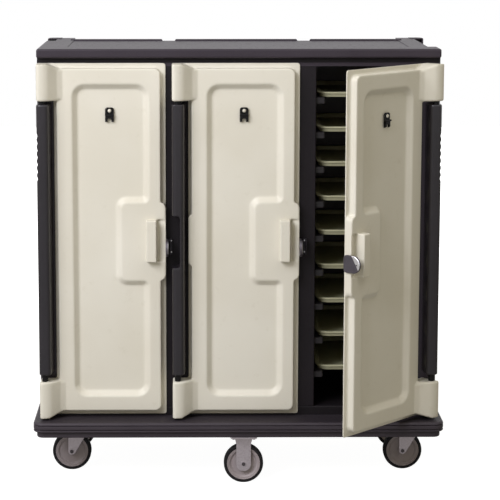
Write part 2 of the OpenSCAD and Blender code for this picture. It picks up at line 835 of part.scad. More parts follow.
module clip_plate_left() { color(black_plastic) on_door(0) clip_plate(); }
module clip_plate_middle() { color(black_plastic) on_door(1) clip_plate(); }
module clip_plate_right() { color(black_plastic) on_door(2) clip_plate(); }
module clip_flap_left() { color(black_plastic) on_door(0) clip_flap(); }
module clip_flap_middle() { color(black_plastic) on_door(1) clip_flap(); }
module clip_flap_right() { color(black_plastic) on_door(2) clip_flap(); }

/* Casters */

module caster_plates() {
    color(steel) for (n = [0:5]) translate([plate_spots[n][0], plate_spots[n][1], plate_z]) difference() {
        linear_extrude(plate_t) round_rect(-plate_x / 2, -plate_y / 2, plate_x / 2, plate_y / 2, 8);
        for (bolt = bolt_spots) translate([bolt[0], bolt[1], -1]) cylinder(plate_t + 2, r = bolt_r, $fn = 32);
        if (n < 4) translate([0, 0, -1]) cylinder(plate_t + 2, r = king_r + run_gap, $fn = 48);
    }
}

module caster_bolts() {
    color(steel) for (spot = plate_spots) for (bolt = bolt_spots)
        translate([spot[0] + bolt[0], spot[1] + bolt[1], plate_z]) {
            cylinder(plate_t + bolt_l, r = bolt_r, $fn = 32);
            translate([0, 0, -bolt_head_h]) cylinder(bolt_head_h, r = bolt_head_r, $fn = 6);
        }
}

// Fork leg of a swivel caster: straight behind the axle and slanting up to the crown
module swivel_leg() {
    rotate([90, 0, 0]) linear_extrude(fork_t) hull() {
        translate([-trail, wheel_r]) circle(foot_r, $fn = 48);
        translate([-trail - foot_r, crown_z]) square([trail + foot_r + crown_half, fork_t]);
    }
}

module swivel_fork(x, y) {
    translate([x, y, 0]) difference() {
        union() {
            translate([0, leg_y + fork_t, 0]) swivel_leg();
            translate([0, -leg_y, 0]) swivel_leg();
            translate([-trail - foot_r, -leg_y - fork_t, crown_z])
                cube([trail + foot_r + crown_half, 2 * (leg_y + fork_t), fork_t]);
            translate([0, 0, crown_z + 1]) cylinder(race_h + fork_t - 1, r = race_r, $fn = 64);
            translate([0, 0, race_z])
                cylinder(race_h + slip_gap + plate_t - 2 * slip_gap, r = king_r, $fn = 48);
        }
        axle_bore(-trail);
    }
}

module axle_bore(x) {
    translate([x, leg_y + fork_t + 1, wheel_r]) rotate([90, 0, 0])
        cylinder(2 * (leg_y + fork_t) + 2, r = axle_r, $fn = 48);
}

module fork_front_left() { color(steel) swivel_fork(pivot_x[0], front_swivel_y); }
module fork_front_right() { color(steel) swivel_fork(pivot_x[1], front_swivel_y); }
module fork_rear_left() { color(steel) swivel_fork(pivot_x[0], rear_swivel_y); }
module fork_rear_right() { color(steel) swivel_fork(pivot_x[1], rear_swivel_y); }

module rigid_leg() {
    rotate([90, 0, 0]) linear_extrude(fork_t) {
        translate([0, wheel_r]) circle(rigid_leg_w / 2, $fn = 64);
        translate([-rigid_leg_w / 2, wheel_r]) square([rigid_leg_w, plate_z - wheel_r]);
        polygon([[-rigid_leg_w / 2 - leg_flare, plate_z], [-rigid_leg_w / 2, plate_z - flare_h],
            [rigid_leg_w / 2, plate_z - flare_h], [rigid_leg_w / 2 + leg_flare, plate_z]]);
    }
}

module rigid_forks() {
    color(steel) for (y = [front_rigid_y, rear_rigid_y]) translate([rigid_x, y, 0]) difference() {
        union() {
            translate([0, leg_y + fork_t, 0]) rigid_leg();
            translate([0, -leg_y, 0]) rigid_leg();
            translate([-rigid_leg_w / 2 - leg_flare, -leg_y - fork_t, plate_z - fork_t])
                cube([rigid_leg_w + 2 * leg_flare, 2 * (leg_y + fork_t), fork_t]);
        }
        axle_bore(0);
    }
}

// Axle with a round head at each end, outside the fork's legs
module axle(x, y) {
    head_r = 10;
    head_h = 4;
    translate([x, y, wheel_r]) rotate([90, 0, 0]) {
        translate([0, 0, -leg_y - fork_t]) cylinder(2 * (leg_y + fork_t), r = axle_r, $fn = 48);
        for (z = [-leg_y - fork_t - head_h, leg_y + fork_t]) translate([0, 0, z])
            cylinder(head_h, r = head_r, $fn = 6);
    }
}

module axle_front_left() { color(steel) axle(pivot_x[0] - trail, front_swivel_y); }
module axle_front_right() { color(steel) axle(pivot_x[1] - trail, front_swivel_y); }
module axle_rear_left() { color(steel) axle(pivot_x[0] - trail, rear_swivel_y); }
module axle_rear_right() { color(steel) axle(pivot_x[1] - trail, rear_swivel_y); }
module rigid_axles() {
    color(steel) for (y = [front_rigid_y, rear_rigid_y]) axle(rigid_x, y);
}

// Hub turned about its axle: a thick rim, dished faces and a boss that runs between the legs
module hub(x, y) {
    rim_r = wheel_r - tyre_t;
    half = wheel_w / 2;
    hub_lip = 6;
    dish_r = rim_r - 2 * hub_lip;
    color(hub_plastic) translate([x, y, wheel_r]) rotate([90, 0, 0]) rotate_extrude($fn = 96) polygon([
        [axle_r + run_gap, -hub_w / 2], [boss_r, -hub_w / 2], [boss_r, -half + dish_depth],
        [dish_r, -half + dish_depth], [rim_r - hub_lip, -half], [rim_r, -half],
        [rim_r, half], [rim_r - hub_lip, half], [dish_r, half - dish_depth],
        [boss_r, half - dish_depth], [boss_r, hub_w / 2], [axle_r + run_gap, hub_w / 2]]);
}

module tyre(x, y) {
    rim_r = wheel_r - tyre_t;
    half = wheel_w / 2;
    shoulder = 4;
    color(black_plastic) translate([x, y, wheel_r]) rotate([90, 0, 0]) rotate_extrude($fn = 96) polygon([
        [rim_r, -half], [wheel_r - shoulder, -half], [wheel_r, -half + shoulder],
        [wheel_r, half - shoulder], [wheel_r - shoulder, half], [rim_r, half]]);
}

/* Trays */

// Tray in the right bay, counted from the top
module tray(n) {
    x = bay_x[2] + (bay_w - tray_w) / 2;
    y = face_y + tray_setback;
    z = floor_z + (levels - n) * level_pitch + slip_gap;
    color(tray_plastic) translate([x, y, z]) difference() {
        linear_extrude(tray_h) round_rect(0, 0, tray_w, tray_l, tray_r);
        translate([0, 0, tray_t]) linear_extrude(tray_h)
            round_rect(tray_rim, tray_rim, tray_w - tray_rim, tray_l - tray_rim, tray_r - tray_rim);
    }
}

base_tray();
left_side();
right_side();
left_partition();
right_partition();
back_wall();
top_deck();
tray_ledges();
hinge_post_left();
hinge_post_middle();
hinge_post_right();
hinge_pins();
door_left();
door_middle();
door_right();
latch_left();
latch_middle();
latch_right();
strikes();
strike_screws();
clip_plate_left();
clip_plate_middle();
clip_plate_right();
clip_flap_left();
clip_flap_middle();
clip_flap_right();
caster_plates();
caster_bolts();
fork_front_left();
fork_front_right();
fork_rear_left();
fork_rear_right();
rigid_forks();
axle_front_left();
axle_front_right();
axle_rear_left();
axle_rear_right();
rigid_axles();
hub(pivot_x[0] - trail, front_swivel_y);  // hub_front_left
hub(pivot_x[1] - trail, front_swivel_y);  // hub_front_right
hub(pivot_x[0] - trail, rear_swivel_y);  // hub_rear_left
hub(pivot_x[1] - trail, rear_swivel_y);  // hub_rear_right
hub(rigid_x, front_rigid_y);  // hub_front_centre
hub(rigid_x, rear_rigid_y);  // hub_rear_centre
tyre(pivot_x[0] - trail, front_swivel_y);  // tyre_front_left
tyre(pivot_x[1] - trail, front_swivel_y);  // tyre_front_right
tyre(pivot_x[0] - trail, rear_swivel_y);  // tyre_rear_left
tyre(pivot_x[1] - trail, rear_swivel_y);  // tyre_rear_right
tyre(rigid_x, front_rigid_y);  // tyre_front_centre
tyre(rigid_x, rear_rigid_y);  // tyre_rear_centre
tray(1);  // tray_1
tray(2);  // tray_2
tray(3);  // tray_3
tray(4);  // tray_4
tray(5);  // tray_5
tray(6);  // tray_6
tray(7);  // tray_7
tray(8);  // tray_8
tray(9);  // tray_9
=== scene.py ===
import json
import math

import bmesh
import bpy
from mathutils import Matrix, Vector

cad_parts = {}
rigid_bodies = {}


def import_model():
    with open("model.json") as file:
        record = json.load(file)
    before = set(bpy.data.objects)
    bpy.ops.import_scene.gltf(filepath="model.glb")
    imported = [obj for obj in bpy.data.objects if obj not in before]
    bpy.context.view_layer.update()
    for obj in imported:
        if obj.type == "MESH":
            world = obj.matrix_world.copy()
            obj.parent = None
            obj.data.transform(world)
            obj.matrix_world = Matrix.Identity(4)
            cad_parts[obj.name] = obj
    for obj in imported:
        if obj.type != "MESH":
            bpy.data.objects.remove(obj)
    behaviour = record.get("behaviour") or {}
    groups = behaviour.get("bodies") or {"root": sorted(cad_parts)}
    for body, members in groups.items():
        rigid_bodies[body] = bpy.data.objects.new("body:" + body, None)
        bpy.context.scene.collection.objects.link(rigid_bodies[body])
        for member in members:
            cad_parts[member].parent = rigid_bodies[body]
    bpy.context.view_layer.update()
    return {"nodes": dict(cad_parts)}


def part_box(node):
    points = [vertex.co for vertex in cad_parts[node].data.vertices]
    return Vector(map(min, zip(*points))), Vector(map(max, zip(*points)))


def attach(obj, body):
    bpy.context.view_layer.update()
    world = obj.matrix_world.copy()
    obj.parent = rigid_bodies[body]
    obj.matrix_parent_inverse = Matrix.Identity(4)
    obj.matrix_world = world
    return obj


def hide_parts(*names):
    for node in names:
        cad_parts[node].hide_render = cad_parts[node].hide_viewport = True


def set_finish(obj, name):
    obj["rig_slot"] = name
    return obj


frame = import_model()
print("frame loaded")

# An enclosed tray cart: cream doors on a dark moulded cabinet, six casters under it.
# Metres: X to the right, Y to the back, Z up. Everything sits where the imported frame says.


# The workbench: small steps that every piece uses

def letGo():  # leaves edit mode and drops the selection
    if bpy.context.object and bpy.context.object.mode != "OBJECT":
        bpy.ops.object.mode_set(mode="OBJECT")
    bpy.ops.object.select_all(action="DESELECT")


def hold(*pieces):  # selects these pieces, the first one active
    letGo()
    for piece in pieces:
        piece.select_set(True)
    bpy.context.view_layer.objects.active = pieces[0]


def settle(name):  # a new primitive takes its name and keeps its place in its mesh
    piece = bpy.context.object
    piece.name = name
    piece.data.name = name
    bpy.ops.object.transform_apply(location=True, rotation=True, scale=True)
    return piece


def middleOf(box):
    return [(a + b) / 2 for a, b in zip(*box)]


def block(name, one, other):  # a box between any two opposite corners
    letGo()
    low, high = [min(pair) for pair in zip(one, other)], [max(pair) for pair in zip(one, other)]
    size = [b - a for a, b in zip(low, high)]
    bpy.ops.mesh.primitive_cube_add(size=1, location=middleOf((low, high)), scale=size)
    return settle(name)


def rod(name, middle, radius, length, along="Z", sides=48):
    letGo()
    turns = {"X": (0, math.pi / 2, 0), "Y": (math.pi / 2, 0, 0), "Z": (0, 0, 0)}
    bpy.ops.mesh.primitive_cylinder_add(
        vertices=sides, radius=radius, depth=length, location=middle, rotation=turns[along])
    return settle(name)


def pick(piece, kind, test):  # edit mode, with only the faces, edges or corners that pass the test
    hold(piece)
    bpy.ops.object.mode_set(mode="EDIT")
    bpy.ops.mesh.select_mode(type=kind)
    bpy.ops.mesh.select_all(action="DESELECT")
    mesh = bmesh.from_edit_mesh(piece.data)
    parts = {"VERT": mesh.verts, "EDGE": mesh.edges, "FACE": mesh.faces}[kind]
    for part in parts:
        if test(part):
            part.select_set(True)
    bmesh.update_edit_mesh(piece.data)


def pickAll(piece):
    hold(piece)
    bpy.ops.object.mode_set(mode="EDIT")
    bpy.ops.mesh.select_all(action="SELECT")


def near(a, b, room=0.0002):
    return abs(a - b) < room


def spotOf(edge):  # the middle of an edge
    return (edge.verts[0].co + edge.verts[1].co) / 2


def runsAlong(edge, axis):
    return abs((edge.verts[1].co - edge.verts[0].co).normalized()[axis]) > 0.999


def looks(face, axis, side):  # the face points along this axis, to this side
    return face.normal[axis] * side > 0.99


def atHeight(edge, height):  # the edge lies flat at this height
    return all(near(corner.co.z, height) for corner in edge.verts)


def roundOff(piece, test, radius, steps=4):  # rounds the edges that pass the test
    pick(piece, "EDGE", test)
    bpy.ops.mesh.bevel(offset=radius, segments=steps, profile=0.5, affect="EDGES", clamp_overlap=True)
    letGo()


def roundAlong(piece, axis, radius, steps, test=lambda spot: True):
    # rounds the edges that run along the axis, where their middle passes the test
    roundOff(piece, lambda edge: runsAlong(edge, axis) and test(spotOf(edge)), radius, steps)


def roundRim(piece, axis, side, radius, steps=4):  # rounds the outline of the faces on one side
    pick(piece, "FACE", lambda face: looks(face, axis, side))
    bpy.ops.mesh.region_to_loop()
    bpy.ops.mesh.bevel(offset=radius, segments=steps, profile=0.5, affect="EDGES", clamp_overlap=True)
    letGo()


def softenPlate(piece, axis, radius, steps=2):  # rounds the outline of a plate on both its faces
    for side in (-1, 1):
        roundRim(piece, axis, side, radius, steps)


def sinkFace(piece, test, border, depth):  # insets the faces that pass and pushes them along their normals
    pick(piece, "FACE", test)
    bpy.ops.mesh.inset(thickness=border, depth=depth, use_even_offset=True, use_boundary=True)
    letGo()


def sinkSide(piece, axis, side, border, depth, area=0):  # the same on one side's faces of at least this area
    sinkFace(piece, lambda face: looks(face, axis, side) and face.calc_area() > area, border, depth)


def scaleSide(piece, axis, side, scale):  # grows or shrinks the faces on one side
    pick(piece, "FACE", lambda face: looks(face, axis, side))
    bpy.ops.transform.resize(value=scale)
    letGo()


def pullFoot(piece, border, area, depth, taper=(1, 1, 1)):  # a narrower foot grows from the underside
    sinkSide(piece, 2, -1, border, 0)
    pick(piece, "FACE", lambda face: looks(face, 2, -1) and face.calc_area() > area)
    bpy.ops.mesh.extrude_region_move(TRANSFORM_OT_translate={"value": (0, 0, -depth)})
    bpy.ops.transform.resize(value=taper)
    letGo()


def shiftCorners(piece, test, way):
    pick(piece, "VERT", lambda corner: test(corner.co))
    bpy.ops.transform.translate(value=way)
    letGo()


def cutOff(piece, place, normal):  # cuts away what lies on the normal's side, and closes the cut
    pickAll(piece)
    bpy.ops.mesh.bisect(plane_co=place, plane_no=normal, use_fill=True, clear_outer=True)
    letGo()


def finishWith(piece, kind, **settings):
    hold(piece)
    modifier = piece.modifiers.new(kind.lower(), kind)
    for name, value in settings.items():
        setattr(modifier, name, value)
    bpy.ops.object.modifier_apply(modifier=modifier.name)


def carve(piece, tool, operation="DIFFERENCE"):  # cuts the tool out of the piece, or welds it on
    finishWith(piece, "BOOLEAN", object=tool, operation=operation, solver="EXACT")
    bpy.data.objects.remove(tool)


def drill(piece, middle, radius, along, sides=48):  # a round hole right through
    carve(piece, rod("drill", middle, radius, drillLong, along, sides))


def gather(name, pieces):  # several pieces become one
    hold(*pieces)
    if len(pieces) > 1:
        bpy.ops.object.join()
    pieces[0].name = name
    pieces[0].data.name = name
    return pieces[0]


def weld(name, pieces):
    for other in pieces[1:]:
        carve(pieces[0], other, "UNION")
    return gather(name, pieces[:1])


def melt(piece, grain, passes):  # one soft skin over joined shapes, as moulded plastic has
    finishWith(piece, "REMESH", mode="VOXEL", voxel_size=grain, adaptivity=0)
    finishWith(piece, "SMOOTH", factor=0.5, iterations=passes)
    finishWith(piece, "DECIMATE", ratio=0.38)


def polish(piece, angle=40):  # smooth shading, with the flats kept flat
    hold(piece)
    bpy.ops.object.shade_smooth_by_angle(angle=math.radians(angle))
    finishWith(piece, "WEIGHTED_NORMAL", weight=60, keep_sharp=True)


def copyOf(piece, name):
    twin = piece.copy()
    twin.data = piece.data.copy()
    twin.name = name
    twin.data.name = name
    bpy.context.scene.collection.objects.link(twin)
    return twin


def moveBy(piece, matrix):  # the place goes into the mesh, and a mirrored shape is turned right side out
    hold(piece)
    piece.matrix_world = matrix
    bpy.ops.object.transform_apply(location=True, rotation=True, scale=True)
    if matrix.determinant() < 0:
        pickAll(piece)
        bpy.ops.mesh.remove_doubles(threshold=0.00001)
        bpy.ops.mesh.normals_make_consistent(inside=False)
        letGo()


def copyAt(piece, name, matrix):
    twin = copyOf(piece, name)
    moveBy(twin, matrix)
    return twin


def place(piece, body, slot, *nodes):
    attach(piece, body)
    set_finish(piece, slot)
    if nodes:
        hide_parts(*nodes)


def setUp(piece, angle, body, slot, *nodes):  # polished, then placed
    polish(piece, angle)
    place(piece, body, slot, *nodes)


def shellPart(piece, angle, *nodes):
    setUp(piece, angle, "cabinet", "shell_plastic", *nodes)


def titled(node):  # front_left becomes FrontLeft
    return node.title().replace("_", "")


over = 0.010  # how far a cutting tool reaches past a surface
drillLong = 0.12  # longer than anything that is drilled

# Where things are, read from the frame

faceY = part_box("left_side")[0][1]
leftOut, leftIn = [corner[0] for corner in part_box("left_side")]
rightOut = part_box("right_side")[1][0]
bays = (leftIn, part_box("left_partition")[1][0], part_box("right_partition")[1][0])
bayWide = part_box("left_partition")[0][0] - leftIn
leftDoorLow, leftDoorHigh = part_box("door_left")
doorWidth = leftDoorHigh[0] - leftDoorLow[0]
doorLow, doorHigh = leftDoorLow[2], leftDoorHigh[2]
knuckleFront = faceY - leftDoorLow[1]
hingeEdges = [leftDoorLow[0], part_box("door_middle")[0][0], -leftDoorLow[0]]
hands = [1, 1, -1]
rightDoorOpen = math.radians(46)
hingeInset, hingeOut = 0.020, 0.060
sides = ["left", "middle", "right"]


def onDoor(i):  # from a door's own place (X from its hinge edge, Y from the cabinet's face) to the cart
    toHinge = Matrix.Translation((hingeEdges[i] + hands[i] * hingeInset, faceY - hingeOut, 0))
    turned = Matrix.Rotation(rightDoorOpen if i == 2 else 0, 4, "Z")
    fromHinge = Matrix.Translation((-hands[i] * hingeInset, hingeOut, 0))
    return toHinge @ turned @ fromHinge @ Matrix.Diagonal((hands[i], 1, 1, 1))


def atPost(i):
    return Matrix.Translation((hingeEdges[i], faceY, 0)) @ Matrix.Diagonal((hands[i], 1, 1, 1))


def onFront(spot):  # the spot is on the front plane of the hinge ends and posts
    return near(spot.y, -knuckleFront)


# Doors

door = {
    "thick": 0.037,
    "gap": 0.0005,
    "flangeThick": 0.008,
    "flangeWide": 0.019,
    "flangeFrom": 0.0605,
    "flangeCorner": 0.008,
    "frontFrom": 0.072,
    "frontCorner": 0.024,
    "frontEdge": 0.007,
    "recess": (0.130, 0.420),
    "recessEnd": 0.077,
    "recessCorner": 0.049,
    "recessDepth": 0.0185,
    "recessSlope": 0.0205,
    "pad": (0.315, 0.790, 1.090),
    "padCorner": 0.020,
    "padMouth": 0.022,
    "padCut": (-0.060, -0.020, 0.030),
    "handle": (0.408, 0.449),
    "handleEnds": (0.8645, 1.0255),
    "handleOut": 0.030,
    "handleSunk": 0.004,
    "handleTaper": (0.93, 1, 0.985),
    "handleRound": 0.0045,
    "pocketWide": 0.0325,
    "pocketDepth": 0.015,
    "knuckleWide": 0.033,
    "knuckleFlank": 0.086,
    "knuckleDrop": 0.021,
    "knuckleBlend": 0.010,
    "knuckles": ((doorLow, 0.403), (1.480, doorHigh)),
    "knuckleRound": (0.010, 0.019, 0.006),
    "knuckleSlant": 0.0037,
    "stripCorner": 0.015,
    "innerPanel": (0.032, 0.0035),
    "grain": 0.0034,
}


def doorRecessTool():  # the recess, narrower at its floor, with the handle's pad left standing
    left, right = door["recess"]
    low, high = doorLow + door["recessEnd"], doorHigh - door["recessEnd"]
    tool = block("recess", (left, -door["thick"] - over, low), (right, -door["thick"], high))
    roundAlong(tool, 1, door["recessCorner"], 10)
    padLeft, padLow, padHigh = door["pad"]
    cutFront, cutBack, cutPast = door["padCut"]
    pad = block("pad", (padLeft, cutFront, padLow), (right + cutPast, cutBack, padHigh))
    roundAlong(pad, 1, door["padCorner"], 6, lambda spot: spot.x < right)
    carve(tool, pad)
    roundAlong(tool, 1, door["padMouth"], 6,
               lambda spot: near(spot.x, right) and padLow - over < spot.z < padHigh + over)
    sinkSide(tool, 1, 1, door["recessSlope"], door["recessDepth"])
    return tool


def doorLeaf(name, strip):
    gap, thick, flange = -door["gap"], -door["thick"], door["flangeWide"]
    left, right = door["frontFrom"], doorWidth - flange
    front = block("front", (left, thick, doorLow + flange), (right, gap, doorHigh - flange))
    roundAlong(front, 1, door["frontCorner"], 8)
    padLeft, padLow, padHigh = door["pad"]
    pad = block("pad", (padLeft, thick, padLow), (doorWidth, gap, padHigh))
    roundAlong(pad, 1, door["padCorner"], 6)
    carve(front, pad, "UNION")
    roundRim(front, 1, -1, door["frontEdge"], 3)
    carve(front, doorRecessTool())
    barLeft, barRight = door["handle"]
    barLow, barHigh = door["handleEnds"]
    pocket = block("pocket", (barRight, thick - over, barLow),
                   (barRight + door["pocketWide"], thick + door["pocketDepth"], barHigh))
    shiftCorners(pocket, lambda spot: spot.y > thick and spot.x > barRight + over,
                 (0, 0.001 - door["pocketDepth"], 0))
    carve(front, pocket)
    rim = block("flange", (door["flangeFrom"], -door["flangeThick"], doorLow), (doorWidth, gap, doorHigh))
    roundAlong(rim, 1, door["flangeCorner"], 4)
    hinges = [part for ends in door["knuckles"] for part in knuckle(*ends)]
    flats = [rim, front]
    if strip:
        raised = block("strip", (door["flangeFrom"], thick, strip[0]),
                       (left + door["frontCorner"], gap, strip[1]))
        roundAlong(raised, 1, door["stripCorner"], 5, lambda spot: spot.x < left)
        flats.append(raised)
    border, depth = door["innerPanel"]
    panel = block("panel", (door["flangeFrom"] + border, -depth, doorLow + border),
                  (doorWidth - border, over, doorHigh - border))
    roundAlong(panel, 1, border, 6)
    for part in flats:  # the door's inner face is sunk by a panel
        carve(part, copyOf(panel, "sunk"))
    bpy.data.objects.remove(panel)
    leaf = gather(name, flats + hinges)
    melt(leaf, door["grain"], 3)
    bar = block("bar", (barLeft, thick - door["handleOut"], barLow),
                (barRight, thick + door["handleSunk"], barHigh))
    scaleSide(bar, 1, -1, door["handleTaper"])
    roundOff(bar, lambda edge: spotOf(edge).y < thick, door["handleRound"], 5)
    leaf = gather(name, [leaf, bar])
    polish(leaf)
    return leaf


def knuckle(low, high):  # the thick hinge end, its flank running down to the door's front
    wide, flank, drop, soft = [door["knuckle" + part] for part in ("Wide", "Flank", "Drop", "Blend")]
    thick, gap, flange = door["thick"], -door["gap"], door["flangeWide"]
    upper = low > 1
    body = block("knuckle", (0, -knuckleFront, low), (flank, gap, high))
    cutOff(body, (wide, -knuckleFront, low), Vector((knuckleFront - thick, wide - flank, 0)))
    cutOff(body, (hingeInset, gap, low), Vector((-door["knuckleSlant"], hingeInset, 0)))
    outerRound, innerRound, endRound = door["knuckleRound"]
    roundAlong(body, 2, innerRound, 8, lambda spot: onFront(spot) and spot.x > wide - 0.005)
    roundAlong(body, 2, outerRound, 5, lambda spot: onFront(spot) and spot.x < 0.005)
    inner = low if upper else high
    roundOff(body, lambda edge: atHeight(edge, inner) and spotOf(edge).y < -over, endRound, 3)
    rootLow, rootHigh = (low + 0.005, high - flange) if upper else (low + flange, high - 0.005)
    root = block("root", (flank - 0.020, -thick, rootLow), (flank + 0.030, gap, rootHigh))
    lean = (knuckleFront - thick) / (flank - wide)
    blend = block("blend", (flank - soft, -thick - soft * lean, rootLow + 0.002),
                  (flank + soft, -thick + 0.004, rootHigh - 0.005))
    cutOff(blend, (flank + soft, -thick, low), Vector((lean / 2, -1, 0)))
    outer, side = (high, 1) if upper else (low, -1)
    for part in (body, root, blend):  # the flank's end slopes back to the door's edge
        cutOff(part, (wide, 0, outer), Vector((drop, 0, side * (flank - wide))))
    hem = block("hem", (wide - 0.004, -door["flangeThick"], outer),
                (door["flangeFrom"] + 0.015, gap, outer - side * 2 * drop))
    return [body, root, blend, hem]


notch = (0.8465, 1.0455)  # the gap in the middle post
plainLeaf = doorLeaf("doorLeft", None)
doorLeaves = [plainLeaf, doorLeaf("doorMiddle", notch), copyOf(plainLeaf, "doorRight")]
for i, leaf in enumerate(doorLeaves):
    moveBy(leaf, onDoor(i))
    place(leaf, sides[i] + "_door", "door_plastic", "door_" + sides[i])
print("doors made")

# Hinge posts

post = {
    "low": 0.430,
    "high": 1.468,
    "outer": -0.001,
    "front": 0.044,
    "foot": 0.052,
    "gap": 0.0005,
    "round": 0.015,
    "endRound": 0.004,
    "grooves": 7,
    "groovePitch": 0.027,
    "grooveRadius": 0.0115,
    "grooveDepth": 0.004,
    "grooveTop": 0.118,
    "notchWide": 0.029,
    "notchCorner": 0.010,
    "grain": 0.003,
}


def postBar(name, grooved):
    body = block(name, (post["outer"], -knuckleFront, post["low"]),
                 (post["foot"], -post["gap"], post["high"]))
    cutOff(body, (post["front"], -knuckleFront, 0), Vector((knuckleFront, post["front"] - post["foot"], 0)))
    roundAlong(body, 2, post["round"], 6, onFront)
    if grooved:
        for n in range(post["grooves"]):
            height = post["high"] - post["grooveTop"] - n * post["groovePitch"]
            out = post["outer"] - post["grooveRadius"] + post["grooveDepth"]
            drill(body, (out, -knuckleFront / 2, height), post["grooveRadius"], "Y", 32)
    else:
        cut = block("notch", (-over, -0.100, notch[0]), (post["notchWide"], over, notch[1]))
        roundAlong(cut, 1, post["notchCorner"], 4)
        carve(body, cut)
    softenPlate(body, 2, post["endRound"], 3)
    melt(body, post["grain"], 2)
    polish(body)
    return body


leftPost = postBar("hingePostLeft", True)
posts = [leftPost, postBar("hingePostMiddle", False), copyOf(leftPost, "hingePostRight")]
for i, body in enumerate(posts):
    moveBy(body, atPost(i))
    place(body, "cabinet", "shell_plastic", "hinge_post_" + sides[i])
print("hinge posts made")

# Base

base = {
    "corner": 0.040,
    "lipHigh": 0.024,
    "lipIn": 0.013,
    "lipRound": 0.006,
    "shelfRound": 0.004,
    "edgeRound": 0.010,
    "grooves": ((0.2385, 0.2435), (0.2205, 0.2250)),
    "grooveDeep": 0.0055,
    "grooveEdge": 0.0020,
    "floorEdge": 0.006,
}


def baseTray():
    low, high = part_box("base_tray")
    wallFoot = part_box("left_side")[0][2]
    lipTop = low[2] + base["lipHigh"]
    bumper = block("base", (low[0], low[1], lipTop), (high[0], high[1], wallFoot))
    roundAlong(bumper, 2, base["corner"], 12)
    pullFoot(bumper, base["lipIn"], 0.5, base["lipHigh"])
    roundRim(bumper, 2, 1, base["edgeRound"], 6)
    roundOff(bumper, lambda edge: atHeight(edge, low[2]), base["lipRound"], 4)
    roundOff(bumper, lambda edge: atHeight(edge, lipTop) and len(edge.link_faces) == 2
             and not all(abs(face.normal.z) > 0.9 for face in edge.link_faces), base["shelfRound"], 3)
    for lower, upper in base["grooves"]:
        for cut in (lower, upper):
            pickAll(bumper)
            bpy.ops.mesh.bisect(plane_co=(0, 0, cut), plane_no=(0, 0, 1))
        pick(bumper, "FACE", lambda face: lower < face.calc_center_median().z < upper
             and abs(face.normal.z) < 0.1)
        bpy.ops.mesh.extrude_region_shrink_fatten(TRANSFORM_OT_shrink_fatten={"value": -base["grooveDeep"]})
        letGo()
        roundOff(bumper, lambda edge: len(edge.link_faces) == 2
                 and (atHeight(edge, lower) or atHeight(edge, upper))
                 and abs(edge.calc_face_angle()) > 1.2, base["grooveEdge"], 3)
    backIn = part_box("back_wall")[0][1]
    floor = block("floor", (leftIn, faceY, wallFoot - over), (-leftIn, backIn, high[2]))
    roundRim(floor, 1, -1, base["floorEdge"], 3)
    return weld("baseTray", [bumper, floor])


shellPart(baseTray(), 40, "base_tray")
print("base made")

# Walls and ribs

wall = {
    "backCorner": 0.030,
    "panelBorder": 0.070,
    "panelSlope": 0.008,
    "panelDeep": 0.004,
    "edge": 0.004,
}


def panelWall(node, axis, side):  # a wall with a shallow panel on its outer face
    low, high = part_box(node)
    slab = block(titled(node), low, high)
    if axis == 0:
        roundAlong(slab, 2, wall["backCorner"], 8, lambda spot: spot.y > faceY + 0.1
                   and spot.x * side > abs(low[0] + high[0]) / 2)
    sinkSide(slab, axis, side, wall["edge"], 0)
    sinkSide(slab, axis, side, wall["panelBorder"], 0, 0.3)
    sinkSide(slab, axis, side, wall["panelSlope"], -wall["panelDeep"], 0.3)
    shellPart(slab, 25, node)


def rib(node):
    low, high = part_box(node)
    body = block(titled(node), low, high)
    roundAlong(body, 2, wall["edge"], 4, lambda spot: near(spot.y, low[1]))
    shellPart(body, 40, node)


panelWall("left_side", 0, -1)
panelWall("right_side", 0, 1)
rib("left_partition")
rib("right_partition")
panelWall("back_wall", 1, 1)
print("walls made")

# Top

top = {
    "deck": 1.670,
    "seam": 0.0008,
    "barHigh": 0.035,
    "barRise": 0.003,
    "barOut": 0.030,
    "barBack": 0.100,
    "barRound": (0.008, 0.012),
    "shoulder": 0.037,
    "drop": 0.030,
    "rimAt": 0.470,
    "rimThick": 0.020,
    "rimHigh": 0.007,
    "rimEnd": 0.090,
    "rimTaper": (0.016, 0.8),
    "notch": 0.271,
    "notchWide": 0.040,
    "rearDrop": 0.015,
    "earWide": 0.058,
    "earLong": 0.055,
    "earHigh": 0.006,
    "earRound": 0.004,
    "stepDrop": 0.018,
    "bandIn": 0.652,
    "bandOut": 0.725,
    "bandFrom": 0.080,
    "bandHigh": 0.003,
    "bandBack": 0.030,
    "bandSunk": 0.020,
    "bridgeLong": 0.070,
    "edge": 0.002,
    "slot": (0.7265, 0.757),
}


